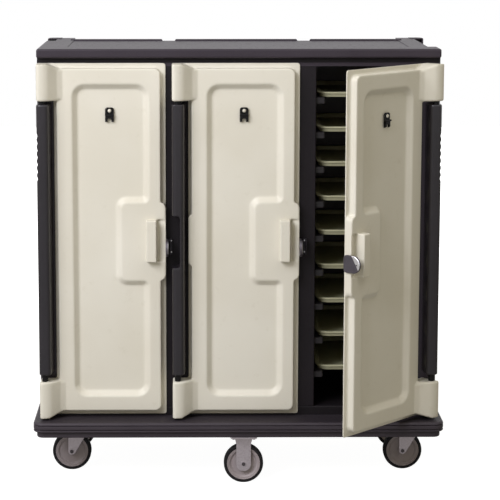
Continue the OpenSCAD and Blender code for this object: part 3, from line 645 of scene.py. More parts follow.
def topDeck():
    low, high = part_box("top_deck")
    back, deck = high[1], top["deck"]
    seam = top["seam"]  # no two joined blocks share a plane
    roof = block("roof", (leftOut + seam, faceY, low[2]), (rightOut - seam, back - seam, deck))
    roundAlong(roof, 2, wall["backCorner"], 8, lambda spot: spot.y > faceY + 0.1)
    shoulderX = rightOut - top["shoulder"]  # the right shoulder slopes, the left one stays full
    cut = block("slope", (shoulderX - 0.001, faceY + top["barBack"] - over, deck - 0.05),
                (shoulderX + 0.08, back + 0.02, deck + 0.03))
    cutOff(cut, (shoulderX, 0, deck), Vector((-top["drop"], 0, -top["shoulder"])))
    carve(roof, cut)
    rimFront = faceY + top["rimAt"]
    rimBack = rimFront + top["rimThick"]
    carve(roof, block("lowBack", (leftOut - over, rimBack, deck - top["rearDrop"]),
                      (rightOut + over, back + over, deck + over)))
    barTop = deck + top["barRise"]
    bar = block("bar", (leftOut, faceY - top["barOut"], barTop - top["barHigh"]),
                (rightOut, faceY + top["barBack"], barTop))
    upperRound, lowerRound = top["barRound"]
    roundAlong(bar, 2, upperRound, 5)
    roundRim(bar, 2, 1, upperRound, 5)
    roundRim(bar, 2, -1, lowerRound, 5)
    parts = [roof, bar]
    middle, half = top["notch"], top["notchWide"] / 2
    lengths = ((leftOut + top["rimEnd"], -middle - half), (-middle + half, middle - half),
               (middle + half, rightOut - top["rimEnd"]))
    shorter, thinner = top["rimTaper"]
    for start, end in lengths:
        rim = block("rim", (start, rimFront, deck - over), (end, rimBack, deck + top["rimHigh"]))
        scaleSide(rim, 2, 1, ((end - start - shorter) / (end - start), thinner, 1))
        roundRim(rim, 2, 1, top["edge"], 3)
        parts.append(rim)
    earFront = back - top["earLong"]
    for side in (-1, 1):
        ear = block("ear", (side * rightOut, earFront, deck - top["drop"] - 0.002),
                    (side * (rightOut - top["earWide"]), back, deck + top["earHigh"]))
        roundAlong(ear, 2, wall["backCorner"], 8,
                   lambda spot: spot.x * side > rightOut - over and spot.y > back - over)
        roundRim(ear, 2, 1, top["earRound"], 3)
        band = block("band", (side * top["bandIn"], faceY + top["bandFrom"], deck - top["bandSunk"]),
                     (side * top["bandOut"], back - top["bandBack"], deck + top["bandHigh"]))
        bridge = block("bridge",
                       (side * (top["bandIn"] + 0.002), earFront - top["bridgeLong"], deck - top["bandSunk"]),
                       (side * (rightOut - top["earWide"] + 0.004), back - 0.003,
                        deck + top["earHigh"] - 0.0015))
        shiftCorners(bridge, lambda spot: spot.y < back - 0.1 and spot.z > deck, (0, 0, -0.003))
        for strip in (band, bridge):
            roundRim(strip, 2, 1, top["edge"], 3)
        step = block("step", (side * (rightOut - seam / 2), rimFront, deck - top["drop"] - 0.003),
                     (side * shoulderX, earFront + 0.004, deck - top["stepDrop"]))
        parts += [ear, band, bridge, step]
    whole = weld("topDeck", parts)
    for side in (-1, 1):  # the dark hollow in the front of each raised corner
        inner, outer = top["slot"]
        carve(whole, block("hollow", (side * inner, earFront - 0.002, deck - 0.013),
                           (side * outer, back - 0.025, deck + 0.002)))
    return whole


shellPart(topDeck(), 30, "top_deck")

front = {
    "proud": 0.0006,
    "thick": 0.004,
    "endIn": 0.002,
    "edge": 0.0004,
    "cornerRadius": 0.014,
    "cornerDeep": 0.020,
}


def headerStrip():  # painted shade: a thin dark sheet between the doors and the top's front bar, where the bar's shade falls
    endIn, proud = front["endIn"], faceY - front["proud"]
    high = top["deck"] + top["barRise"] - top["barHigh"] + 0.002
    strip = block("headerStrip", (leftOut + endIn, proud, doorHigh + front["proud"]),
                  (rightOut - endIn, proud + front["thick"], high))
    roundRim(strip, 1, -1, front["edge"], 2)
    return strip


def bayCorners():  # the openings' upper corners are rounded
    radius, high = front["cornerRadius"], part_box("top_deck")[0][2]
    corners = []
    for bay in bays:
        for start, side in ((bay, 1), (bay + bayWide, -1)):
            end = start + side * radius
            corner = block("bayCorners", (start, faceY + front["edge"], high - radius),
                           (end, faceY + front["cornerDeep"], high))
            drill(corner, (end, faceY, high - radius), radius, "Y")
            corners.append(corner)
    return gather("bayCorners", corners)


shellPart(headerStrip(), 40)
shellPart(bayCorners(), 30)
print("top made")

# Trays and their ledges

tray = {
    "corner": 0.050,
    "rim": 0.018,
    "floor": 0.004,
    "slope": 0.005,
    "lip": 0.0022,
    "lipHigh": 0.006,
    "skirtIn": 0.005,
    "skirtTaper": (0.985, 0.988, 1),
    "footRound": 0.0015,
}
ledge = {
    "reach": 0.035,
    "thick": 0.022,
    "pitch": 0.133,
    "levels": 9,
    "edge": 0.006,
}


def mealTray(name, low, high):
    lipLow = high[2] - tray["lipHigh"]
    body = block(name, (low[0], low[1], lipLow), high)
    roundAlong(body, 2, tray["corner"], 12)
    pullFoot(body, tray["skirtIn"], 0.1, lipLow - low[2], tray["skirtTaper"])
    sinkSide(body, 2, 1, tray["rim"], 0)
    sinkSide(body, 2, 1, tray["slope"], -(high[2] - low[2] - tray["floor"]), 0.1)
    roundOff(body, lambda edge: atHeight(edge, high[2]) and len(edge.link_faces) == 2
             and any(abs(face.normal.z) < 0.9 for face in edge.link_faces), tray["lip"], 3)
    roundRim(body, 2, -1, tray["footRound"], 2)
    polish(body)
    return body


def trayLedges():
    low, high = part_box("tray_ledges")
    first = block("ledge", (leftIn, low[1], low[2]),
                  (leftIn + ledge["reach"], high[1], low[2] + ledge["thick"]))
    roundRim(first, 0, 1, ledge["edge"], 4)
    ledges = []
    for bay in bays:
        mirror = Matrix.Translation((2 * bay + bayWide, 0, 0)) @ Matrix.Diagonal((-1, 1, 1, 1))
        for level in range(ledge["levels"]):
            shift = Matrix.Translation((bay - leftIn, 0, level * ledge["pitch"]))
            ledges += [copyAt(first, "ledge", way) for way in (shift, mirror @ shift)]
    bpy.data.objects.remove(first)
    return gather("trayLedges", ledges)


firstTray = mealTray("tray1", *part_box("tray_1"))
trays = [firstTray] + [copyOf(firstTray, "tray" + str(n)) for n in range(2, 10)]
for n, body in enumerate(trays, 1):
    node = "tray_" + str(n)
    if n > 1:
        moveBy(body, Matrix.Translation((0, 0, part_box(node)[0][2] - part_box("tray_1")[0][2])))
    place(body, node, "tray_plastic", node)
setUp(trayLedges(), 40, "cabinet", "rail_plastic", "tray_ledges")
print("trays and ledges made")

# Casters

caster = {
    "tyre": 0.0125,
    "tyreRound": 0.0045,
    "boss": 0.017,
    "bossRound": 0.002,
    "hubLip": 0.003,
    "dish": ((0.0015, -0.0015), (0.004, 0), (0.008, -0.0060), (0.010, 0), (0.002, -0.0005)),
}


def flatEnd(face):
    return abs(face.normal.y) > 0.99


def wheelHub(name, node):
    low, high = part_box(node)
    middle = Vector(middleOf((low, high)))
    tyreLow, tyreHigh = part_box(node.replace("hub", "tyre"))
    hub = rod(name, middle, (high[2] - low[2]) / 2, tyreHigh[1] - tyreLow[1], "Y", 72)
    sinkFace(hub, flatEnd, caster["hubLip"], 0)
    for border, depth in caster["dish"]:
        sinkFace(hub, lambda face: flatEnd(face) and near(face.calc_center_median().x, middle.x, 0.001),
                 border, depth)
    boss = rod("boss", middle, caster["boss"], high[1] - low[1], "Y", 48)
    roundOff(boss, lambda edge: not runsAlong(edge, 1), caster["bossRound"], 3)
    return weld(name, [hub, boss])


def wheelTyre(name, node):
    low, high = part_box(node)
    middle, radius = Vector(middleOf((low, high))), (high[2] - low[2]) / 2

    def onTread(corner):
        return near(math.hypot(corner.co.x - middle.x, corner.co.z - middle.z), radius, 0.001)

    ring = rod(name, middle, radius, high[1] - low[1], "Y", 72)
    sinkFace(ring, flatEnd, caster["tyre"], 0)
    pick(ring, "FACE", lambda face: flatEnd(face) and (face.calc_center_median() - middle).length < 0.03)
    bpy.ops.mesh.delete(type="FACE")
    bpy.ops.mesh.select_mode(type="EDGE")
    bpy.ops.mesh.select_non_manifold()
    bpy.ops.mesh.bridge_edge_loops()
    bpy.ops.mesh.select_all(action="SELECT")
    bpy.ops.mesh.normals_make_consistent(inside=False)
    letGo()
    roundOff(ring, lambda edge: not runsAlong(edge, 1) and all(onTread(corner) for corner in edge.verts),
             caster["tyreRound"], 5)
    return ring


wheelSpots = ["front_left", "front_right", "rear_left", "rear_right", "front_centre", "rear_centre"]
firstHub = wheelHub("hubFrontLeft", "hub_front_left")
firstTyre = wheelTyre("tyreFrontLeft", "tyre_front_left")
polish(firstHub, 30)
polish(firstTyre, 50)
for spot in wheelSpots:
    step = Vector(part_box("hub_" + spot)[0]) - Vector(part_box("hub_front_left")[0])
    for kind, first, slot in (("hub", firstHub, "hub_plastic"), ("tyre", firstTyre, "tyre_rubber")):
        part = first
        if spot != wheelSpots[0]:
            part = copyAt(first, kind + titled(spot), Matrix.Translation(step))
        place(part, spot + "_wheel", slot, kind + "_" + spot)
print("wheels made")

fork = {
    "trail": 0.030,
    "play": 0.0003,
    "legThick": 0.005,
    "legOut": 0.0243,
    "crownReach": 0.042,
    "crownIn": 0.001,
    "washer": (0.0118, 0.0016),
    "washerSunk": 0.0004,
    "footRadius": 0.014,
    "race": (0.038, 0.010),
    "raceRound": 0.003,
    "raceWaist": (0.0035, 0.955),
    "kingRadius": 0.0079,
    "edge": 0.0012,
    "rigidWide": 0.056,
    "flare": 0.008,
    "flareHigh": 0.030,
}
plateLow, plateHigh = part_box("caster_plates")


def axleOf(spot):
    return middleOf(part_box("tyre_" + spot))


def twoLegs(leg, axle):  # a leg with its washer, and their twins on the other side of the wheel
    radius, thick = fork["washer"]
    washerY = axle[1] - fork["legOut"] - fork["washerSunk"]
    washer = rod("washer", (axle[0], washerY, axle[2]), radius, thick, "Y", 48)
    roundRim(washer, 1, -1, fork["edge"] / 2, 2)
    carve(leg, washer, "UNION")
    mirror = Matrix.Translation((0, 2 * axle[1], 0)) @ Matrix.Diagonal((1, -1, 1, 1))
    return [leg, copyAt(leg, "leg", mirror)]


def forkCrown(left, right, axle, low, high):  # the flat plate over the legs
    out = fork["legOut"] - fork["crownIn"]
    roof = block("crown", (left, axle[1] - out, low), (right, axle[1] + out, high))
    softenPlate(roof, 2, fork["edge"])
    return roof


def swivelFork(spot):
    low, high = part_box("fork_" + spot)
    axle, thick = axleOf(spot), fork["legThick"]
    pivotX = axle[0] + fork["trail"]
    raceRadius, raceHigh = fork["race"]
    raceLow = plateLow[2] - fork["play"] - raceHigh
    outY, right = axle[1] - fork["legOut"], pivotX + fork["crownReach"]
    leg = rod("leg", (axle[0], outY + thick / 2, axle[2]), fork["footRadius"], thick, "Y", 40)
    gather("leg", [leg, block("legTop", (low[0], outY, raceLow - thick), (right, outY + thick, raceLow))])
    pickAll(leg)
    bpy.ops.mesh.convex_hull()
    bpy.ops.mesh.dissolve_limited(angle_limit=0.01)
    letGo()
    softenPlate(leg, 1, fork["edge"])
    roof = forkCrown(low[0], right, axle, raceLow - thick, raceLow)
    race = rod("race", (pivotX, axle[1], raceLow + raceHigh / 2), raceRadius, raceHigh, "Z", 64)
    roundRim(race, 2, 1, fork["raceRound"], 3)
    pick(race, "EDGE", lambda edge: runsAlong(edge, 2))
    bpy.ops.mesh.subdivide(number_cuts=3)
    waistUp, waist = fork["raceWaist"]
    pick(race, "VERT", lambda corner: near(corner.co.z, raceLow + waistUp, fork["edge"]))
    bpy.ops.transform.resize(value=(waist, waist, 1), center_override=(pivotX, axle[1], raceLow))
    letGo()
    king = rod("king", (pivotX, axle[1], (raceLow + high[2]) / 2), fork["kingRadius"],
               high[2] - raceLow, "Z", 32)
    return weld("fork" + titled(spot), twoLegs(leg, axle) + [roof, race, king])


def rigidFork(spot):
    axle, thick = axleOf(spot), fork["legThick"]
    topZ = plateLow[2]
    half = fork["rigidWide"] / 2
    left, right = axle[0] - half - fork["flare"], axle[0] + half + fork["flare"]
    outY = axle[1] - fork["legOut"]
    leg = block("leg", (axle[0] - half, outY, axle[2]), (axle[0] + half, outY + thick, topZ))
    carve(leg, rod("foot", (axle[0], outY + thick / 2, axle[2]), half, thick, "Y", 64), "UNION")
    flare = block("flare", (left, outY, topZ - fork["flareHigh"]), (right, outY + thick, topZ))
    scaleSide(flare, 2, -1, (half / (half + fork["flare"]), 1, 1))
    carve(leg, flare, "UNION")
    softenPlate(leg, 1, fork["edge"])
    roof = forkCrown(left, right, axle, topZ - thick, topZ)
    return weld("rigid" + titled(spot), twoLegs(leg, axle) + [roof])


axleBolt = {
    "shank": (0.0059, 0.0486),
    "head": (0.0078, 0.0036),
    "headOut": 0.0264,
    "headRound": 0.0010,
    "dimple": (0.0022, 0.0006, 0.0012),
}


def wheelAxle(spot):  # a bolt through the wheel, with a dimpled hexagon at each end
    axle = axleOf(spot)
    parts = [rod("axle" + titled(spot), axle, *axleBolt["shank"], "Y", 32)]
    border, inner, deep = axleBolt["dimple"]
    for side in (-1, 1):
        headY = axle[1] + side * axleBolt["headOut"]
        head = rod("head", (axle[0], headY, axle[2]), *axleBolt["head"], "Y", 6)
        roundRim(head, 1, side, axleBolt["headRound"], 2)
        sinkSide(head, 1, side, border, 0)
        sinkFace(head, lambda face: looks(face, 1, side) and face.calc_area() < 0.00013, inner, -deep)
        parts.append(head)
    return weld(parts[0].name, parts)


for spot in wheelSpots[:4]:
    setUp(swivelFork(spot), 35, spot + "_swivel", "zinc_steel", "fork_" + spot)
    setUp(wheelAxle(spot), 30, spot + "_swivel", "zinc_steel", "axle_" + spot)
rigidPair = gather("rigidForks", [rigidFork(spot) for spot in wheelSpots[4:]])
setUp(rigidPair, 35, "cabinet", "zinc_steel", "rigid_forks")
rigidBolts = gather("rigidAxles", [wheelAxle(spot) for spot in wheelSpots[4:]])
setUp(rigidBolts, 30, "cabinet", "zinc_steel", "rigid_axles")

mount = {
    "half": (0.051, 0.057),
    "corner": 0.008,
    "edge": 0.0010,
    "boltIn": 0.012,
    "head": (0.0068, 0.005),
    "headRound": 0.0009,
    "shank": (0.0039, 0.004),
}


def casterTops():  # the six top plates, and the bolts that hold them under the base
    spots = []
    for spot in wheelSpots:
        axle = axleOf(spot)
        spots.append((axle[0] + (0 if spot.endswith("centre") else fork["trail"]), axle[1]))
    (x, y), (halfX, halfY), boltIn = spots[0], mount["half"], mount["boltIn"]
    plate = block("casterPlates", (x - halfX, y - halfY, plateLow[2]), (x + halfX, y + halfY, plateHigh[2]))
    roundAlong(plate, 2, mount["corner"], 5)
    softenPlate(plate, 2, mount["edge"])
    low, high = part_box("caster_bolts")
    boltX, boltY = x - halfX + boltIn, y - halfY + boltIn
    headRadius, headHigh = mount["head"]
    bolt = rod("casterBolts", (boltX, boltY, low[2] + headHigh / 2), headRadius, headHigh, "Z", 6)
    roundRim(bolt, 2, -1, mount["headRound"], 2)
    shankRadius, shankUp = mount["shank"]
    shank = rod("shank", (boltX, boltY, (low[2] + high[2] + shankUp) / 2), shankRadius,
                high[2] - low[2] - shankUp, "Z", 20)
    carve(bolt, shank, "UNION")
    plates, bolts = [plate], []
    for u, v in spots:
        if (u, v) != spots[0]:
            plates.append(copyAt(plate, "plate", Matrix.Translation((u - x, v - y, 0))))
        for right in (0, 2 * (halfX - boltIn)):
            for back in (0, 2 * (halfY - boltIn)):
                step = Matrix.Translation((u - x + right, v - y + back, 0))
                bolts.append(copyAt(bolt, "bolt", step))
    bpy.data.objects.remove(bolt)
    return gather("casterPlates", plates), gather("casterBolts", bolts)


for piece, node in zip(casterTops(), ("caster_plates", "caster_bolts")):
    setUp(piece, 30, "cabinet", "zinc_steel", node)
print("casters made")

# Latches: a flat paddle beside each door's free edge, its nose skinned with bright steel as a painted
# highlight
latch = {
    "middle": 0.917,
    "half": 0.0325,
    "reach": 0.081,
    "play": 0.0003,
    "back": 0.006,
    "thick": 0.010,
    "backCorner": 0.014,
    "pinRadius": 0.003,
    "pinIn": 0.014,
    "pinAt": 0.010,
    "eye": 0.003,
    "eyeIn": 0.014,
    "capFrom": 0.0635,
    "capLean": 0.62,
    "capThick": 0.002,
    "edge": (0.0022, 0.001),
    "face": (0.003, 0.0008),
}


def latchPaddle():
    height, half = latch["middle"], latch["half"]
    inner = doorWidth + latch["play"]
    outer = inner + latch["thick"]
    middle, nose = (inner + outer) / 2, latch["reach"] - half
    body = block("latch", (inner, -nose, height - half), (outer, -latch["back"], height + half))
    roundAlong(body, 0, latch["backCorner"], 8, lambda spot: spot.y > -0.02)
    carve(body, rod("nose", (middle, -nose, height), half, latch["thick"], "X", 64), "UNION")
    pick(body, "EDGE", lambda edge: len(edge.link_faces) == 2 and edge.calc_face_angle() < 0.001)
    bpy.ops.mesh.dissolve_edges()
    letGo()
    outerEdge, innerEdge = latch["edge"]
    roundRim(body, 0, 1, outerEdge, 4)
    roundRim(body, 0, -1, innerEdge, 2)
    border, deep = latch["face"]
    sinkSide(body, 0, 1, border, 0)
    sinkSide(body, 0, 1, deep, -deep, 0.002)
    # painted highlight: a thin outer skin of the nose, cut on a slant, gets bright steel
    seam = (outer - latch["capThick"], 0, 0)
    tip, lean = (0, -latch["capFrom"], height), Vector((0, 1, -latch["capLean"]))
    inside, rest, cap = body, copyOf(body, "rest"), copyOf(body, "cap")
    cutOff(inside, seam, (1, 0, 0))
    for piece, side in ((rest, -lean), (cap, lean)):
        cutOff(piece, seam, (-1, 0, 0))
        cutOff(piece, tip, side)
    eyeY = -latch["reach"] + latch["eyeIn"]
    for piece in (inside, rest, cap):
        drill(piece, (middle, eyeY, height), latch["eye"], "X", 32)
    pin = rod("pin", (doorWidth - latch["pinIn"] / 2, -latch["pinAt"], height), latch["pinRadius"],
              latch["pinIn"] + 0.002, "X", 24)
    return gather("latch", [inside, rest, pin]), cap


firstPaddle, firstNoseHighlight = latchPaddle()
for i, side in enumerate(sides):
    paddle = copyAt(firstPaddle, "latch" + side.title(), onDoor(i))
    setUp(paddle, 35, side + "_latch", "stainless", "latch_" + side)
    # painted highlight: the nose skin in bright steel
    cap = copyAt(firstNoseHighlight, "latchNose" + side.title(), onDoor(i))
    setUp(cap, 35, side + "_latch", "stainless")
bpy.data.objects.remove(firstPaddle)
bpy.data.objects.remove(firstNoseHighlight)

# Strikes: upright lugs beside the latches, screwed to the cabinet's front
strike = {
    "thick": 0.003,
    "out": 0.030,
    "low": 0.886,
    "high": 0.948,
    "corner": 0.008,
    "edge": 0.0006,
    "hole": 0.005,
    "holeOut": 0.019,
    "between": 0.008,
    "screws": (0.895, 0.939),
    "screw": (0.003, 0.002),
    "screwRound": 0.0012,
    "drive": (0.0018, 0.0003),
    "driveFrom": (0.006, 0.0044),
}


def strikeLug(x):
    lug = block("lug", (x, faceY - strike["out"], strike["low"]),
                (x + strike["thick"], faceY, strike["high"]))
    roundAlong(lug, 0, strike["corner"], 6, lambda spot: spot.y < faceY - over)
    drill(lug, (x, faceY - strike["holeOut"], latch["middle"]), strike["hole"], "X", 32)
    softenPlate(lug, 0, strike["edge"])
    return lug


def strikePlates():
    low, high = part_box("strikes")
    thick, left, right = strike["thick"], low[0], high[0]
    doubleLeft = right - 2 * thick - strike["between"]
    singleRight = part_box("hinge_post_middle")[0][0] - latch["play"]
    parts = []
    for start, end, lugs in ((left, singleRight, (left,)), (doubleLeft, right, (doubleLeft, right - thick))):
        foot = block("foot", (start, faceY - thick, strike["low"]), (end, faceY, strike["high"]))
        roundRim(foot, 1, -1, strike["edge"], 2)
        for lug in lugs:
            carve(foot, strikeLug(lug), "UNION")
        parts.append(foot)
    return gather("strikes", parts)


def strikeScrews():
    boxLow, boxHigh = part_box("strike_screws")
    radius, high = strike["screw"]
    (long, wide), (driveFront, driveBack) = strike["drive"], strike["driveFrom"]
    parts = []
    for x in (boxLow[0] + radius, boxHigh[0] - radius):
        for z in strike["screws"]:
            head = rod("head", (x, faceY - strike["thick"] - high / 2, z), radius, high, "Y", 32)
            roundRim(head, 1, -1, strike["screwRound"], 4)
            carve(head, block("drive", (x - long, faceY - driveFront, z - wide),
                              (x + long, faceY - driveBack, z + wide)))
            parts.append(head)
    return gather("strikeScrews", parts)


setUp(strikePlates(), 30, "cabinet", "stainless", "strikes")
setUp(strikeScrews(), 30, "cabinet", "stainless", "strike_screws")
print("latches made")

# Menu clips: a black plate with a round window at the top, and a sprung flap under it
clip = {
    "middle": 0.272,
    "half": 0.0165,
    "low": 1.3975,
    "high": 1.4525,
    "thick": 0.003,
    "topRound": 0.009,
    "edge": 0.0005,
    "window": 0.0075,
    "windowAt": 1.440,
    "ringOut": 0.0015,
    "ringWide": 0.0035,
    "ringRound": 0.001,
    "gapWide": 0.0145,
    "gapHigh": 0.013,
    "gapRound": 0.005,
    "ear": 0.003,
    "barrelAt": (0.0298, 1.423),
    "barrel": 0.0035,
    "barrelRound": 0.0006,
    "flapThick": 0.0025,
    "flapLow": 1.4005,
    "flapIn": 0.0033,
    "knob": (0.0066, 0.009),
    "knobOut": 0.0035,
}
clipFloor = -(door["thick"] - 0.014)  # the recess's floor


def clipGap(front, back):  # the slot that parts the clip's foot
    middle, half, low = clip["middle"], clip["gapWide"] / 2, clip["low"]
    gap = block("gap", (middle - half, front, low - over), (middle + half, back, low + clip["gapHigh"]))
    roundAlong(gap, 1, clip["gapRound"], 5, lambda spot: spot.z > low)
    return gap


def clipPlate():
    middle, height, thick = clip["middle"], clip["windowAt"], clip["thick"]
    left, right = middle - clip["half"], middle + clip["half"]
    plate = block("clipPlate", (left, clipFloor - thick, clip["low"]), (right, clipFloor, clip["high"]))
    roundAlong(plate, 1, clip["topRound"], 8, lambda spot: spot.z > height)
    carve(plate, clipGap(clipFloor - over, clipFloor + over))
    deep = thick + clip["ringOut"]
    ring = rod("ring", (middle, clipFloor - deep / 2, height), clip["window"] + clip["ringWide"],
               deep, "Y", 48)
    roundRim(ring, 1, -1, clip["ringRound"], 3)
    carve(plate, ring, "UNION")
    (out, barrelZ), barrel = clip["barrelAt"], clip["barrel"]
    for start in (left, right - clip["ear"]):
        ear = block("ear", (start, -out - barrel, barrelZ - barrel),
                    (start + clip["ear"], clipFloor - 0.001, barrelZ + barrel))
        roundAlong(ear, 0, clip["ear"], 5, lambda spot: spot.y < clipFloor - 0.005)
        carve(plate, ear, "UNION")
    drill(plate, (middle, clipFloor, height), clip["window"], "Y")
    roundRim(plate, 1, -1, clip["edge"], 2)
    return plate


def clipFlap():
    out, height = clip["barrelAt"]
    middle, inner, half = clip["middle"], clip["half"] - clip["flapIn"], clip["flapThick"] / 2
    barrel = rod("clipFlap", (middle, -out, height), clip["barrel"], 2 * inner, "X", 32)
    softenPlate(barrel, 0, clip["barrelRound"])
    leaf = block("leaf", (middle - inner, -out - half, clip["flapLow"]),
                 (middle + inner, -out + half, height))
    roundAlong(leaf, 1, 0.001, 2, lambda spot: spot.z < height - over)
    carve(leaf, clipGap(-0.05, 0))
    softenPlate(leaf, 1, clip["edge"])
    carve(barrel, leaf, "UNION")
    return barrel


def clipKnob():  # the door's own round boss, showing through the window
    radius, high = clip["knob"]
    middle = (clip["middle"], clipFloor - clip["knobOut"], clip["windowAt"])
    knob = rod("clipKnob", middle, radius, high, "Y", 48)
    roundRim(knob, 1, -1, high / 2, 8)
    return knob


clipParts = ((clipPlate(), "_door", "clip_plastic", "clip_plate_"),
             (clipFlap(), "_clip", "clip_plastic", "clip_flap_"),
             (clipKnob(), "_door", "door_plastic", None))
for i, side in enumerate(sides):
    for original, body, slot, node in clipParts:
        piece = copyAt(original, original.name + side.title(), onDoor(i))
        setUp(piece, 35, side + body, slot, *([node + side] if node else []))
for row in clipParts:
    bpy.data.objects.remove(row[0])
print("menu clips made")


# Finishes

class Value:  # one number on the surface; sums written with it become Math nodes
    def __init__(self, finish, socket):
        self.finish = finish
        self.socket = socket

    def mix(self, operation, first, second):
        return self.finish.node("Math", {"operation": operation}, {0: first, 1: second})

    def __add__(self, other):
        return self.mix("ADD", self, other)

    def __radd__(self, other):
        return self.mix("ADD", other, self)

    def __mul__(self, other):
        return self.mix("MULTIPLY", self, other)

    def __rmul__(self, other):
        return self.mix("MULTIPLY", other, self)

    def __truediv__(self, other):
        return self.mix("DIVIDE", self, other)

    def __rtruediv__(self, other):
        return self.mix("DIVIDE", other, self)


class Finish:  # a material and the nodes that make it
    def __init__(self, name, **constants):
        self.material = bpy.data.materials.new(name)
        self.material.use_nodes = True
        self.tree = self.material.node_tree
        self.shader = self.tree.nodes["Principled BSDF"]
        for socket, value in constants.items():
            self.shader.inputs[socket.replace("_", " ")].default_value = value

    def node(self, kind, settings=None, links=None, output=0):
        made = self.tree.nodes.new("ShaderNode" + kind)
        for name, value in (settings or {}).items():
            if name == "stops":
                while len(made.color_ramp.elements) < len(value):
                    made.color_ramp.elements.new(0.5)
                for element, (position, colour) in zip(made.color_ramp.elements, value):
                    element.position = position
                    element.color = colour
            else:
                setattr(made, name, value)
        for name, value in (links or {}).items():
            self.join(made.inputs[name], value)
        return Value(self, made.outputs[output])

    def join(self, socket, value):
        if isinstance(value, Value):
            self.tree.links.new(value.socket, socket)
        else:
            socket.default_value = value

    def feed(self, socket, value):
        self.join(self.shader.inputs[socket], value)

    def place(self):
        return self.node("TexCoord", output=3)

    def noise(self, scale, detail=2, rough=0.5):
        return self.node("TexNoise", None, {"Vector": self.place(), "Scale": scale, "Detail": detail,
                                            "Roughness": rough})

    def height(self):  # height over the floor, in metres
        return self.node("SeparateXYZ", None, {0: self.place()}, 2)

    def blend(self, share, first, second):
        return self.node("Mix", {"data_type": "RGBA"}, {0: share, 6: first, 7: second}, 2)

    def ramp(self, value, stops):
        greys = [(at, (grey, grey, grey, 1)) for at, grey in stops]
        return self.node("ValToRGB", {"stops": greys}, {0: value})

    def bump(self, height, distance, strength=1.0):
        self.feed("Normal", self.node("Bump", None, {"Strength": strength, "Distance": distance,
                                                     "Height": height}))


def colour(red, green, blue):  # from screen values of 0 to 255
    def linear(value):
        value /= 255
        return value / 12.92 if value <= 0.04045 else ((value + 0.055) / 1.055) ** 2.4
    return (linear(red), linear(green), linear(blue), 1)


def creamPlastic():
    finish = Finish("creamPlastic", Specular_IOR_Level=0.4)
    cloud = finish.ramp(finish.noise(2.5, 3), ((0.35, 0), (0.65, 1)))
    grime = finish.noise(28, 6, 0.6)
    tone = finish.blend(cloud, colour(226, 222, 209), colour(219, 214, 199))
    specks = finish.ramp(grime, ((0.60, 0), (0.78, 1)))
    finish.feed("Base Color", finish.blend(specks * 0.35, tone, colour(204, 198, 180)))
    finish.feed("Roughness", 0.40 + grime * 0.16)
    finish.bump(finish.noise(420, 3) * 0.2 + finish.noise(14, 2) * 0.8, 0.0005, 0.35)
    return finish.material


def shellPlastic(name, light, dark, shine, dull, paintedShade=None):  # the cabinet's plastic, in its several tones, some of them painted shade
    finish = Finish(name, Specular_IOR_Level=shine)
    cloud = finish.ramp(finish.noise(4, 4), ((0.3, 0), (0.7, 1)))
    fleck = finish.ramp(finish.noise(650, 2), ((0.55, 0), (0.75, 0.5)))
    tone = finish.blend(cloud, colour(*light), colour(*dark))
    tone = finish.blend(fleck, tone, colour(*[value + 14 for value in light]))
    if paintedShade:  # painted shade: from this height up the surface is darker
        height, shade = paintedShade
        darker = finish.ramp(finish.height(), ((height - 0.001, 0), (height + 0.001, 1)))
        tone = finish.blend(darker, tone, colour(*shade))
    finish.feed("Base Color", tone)
    scuff = finish.ramp(finish.noise(60, 6, 0.7), ((0.55, 0), (0.72, 1)))
    finish.feed("Roughness", dull + scuff * 0.18)
    finish.bump(finish.noise(480, 3), 0.0004, 0.5)
    return finish.material


def trayPlastic():
    finish = Finish("trayPlastic", Specular_IOR_Level=0.4)
    grain = finish.noise(900, 2)
    cloud = finish.noise(12, 3)
    tone = finish.blend(cloud, colour(178, 176, 148), colour(164, 162, 133))
    specks = finish.ramp(grain, ((0.5, 0), (0.7, 0.4)))
    finish.feed("Base Color", finish.blend(specks, tone, colour(150, 147, 118)))
    finish.feed("Roughness", 0.45 + cloud * 0.15)
    finish.bump(grain, 0.0002, 0.4)
    return finish.material


def brushedSteel():
    finish = Finish("brushedSteel", Metallic=1.0)
    where = finish.node("Mapping", None, {0: finish.place(), "Scale": (400, 400, 12)})
    lines = finish.node("TexNoise", None, {"Vector": where, "Scale": 1.0, "Detail": 3})
    finish.feed("Base Color", finish.blend(lines, colour(214, 212, 214), colour(240, 238, 238)))
    finish.feed("Roughness", 0.22 + lines * 0.2)
    finish.bump(lines, 0.0001, 0.3)
    return finish.material


def zincSteel():
    finish = Finish("zincSteel", Metallic=0.9)
    patches = finish.node("TexVoronoi", {"feature": "F1"}, {"Vector": finish.place(), "Scale": 220.0}, 1)
    cloud = finish.noise(35, 5, 0.6)
    base = finish.blend(0.35, colour(180, 168, 174), patches)
    grey = finish.node("HueSaturation", None, {"Saturation": 0.0, "Color": base})
    finish.feed("Base Color", finish.blend(0.3, colour(180, 167, 173), grey))
    finish.feed("Roughness", 0.34 + cloud * 0.22)
    finish.bump(cloud, 0.0003, 0.4)
    return finish.material


def tyreRubber():
    finish = Finish("tyreRubber", Specular_IOR_Level=0.25)
    dust = finish.noise(45, 6, 0.65)
    dusty = finish.ramp(dust, ((0.45, 0), (0.75, 0.6)))
    finish.feed("Base Color", finish.blend(dusty, colour(17, 15, 17), colour(40, 37, 38)))
    finish.feed("Roughness", 0.55 + dust * 0.3)
    finish.bump(finish.noise(300, 3), 0.0004, 0.5)
    return finish.material


def mottled(name, tones, cloud, dull, stain, grain, bump, **constants):
    # two tones in soft clouds, roughness with a stain of its own, and a fine grain
    finish = Finish(name, **constants)
    first, second = tones
    finish.feed("Base Color", finish.blend(finish.noise(*cloud), colour(*first), colour(*second)))
    least, swing = dull
    finish.feed("Roughness", least + finish.noise(*stain) * swing)
    finish.bump(finish.noise(*grain), *bump)
    return finish.material


def darkMetal(name, *tones):
    patches = (60, 5, 0.6)
    return mottled(name, tones, patches, (0.28, 0.2), patches, (900, 2), (0.0001, 0.4), Metallic=0.75)


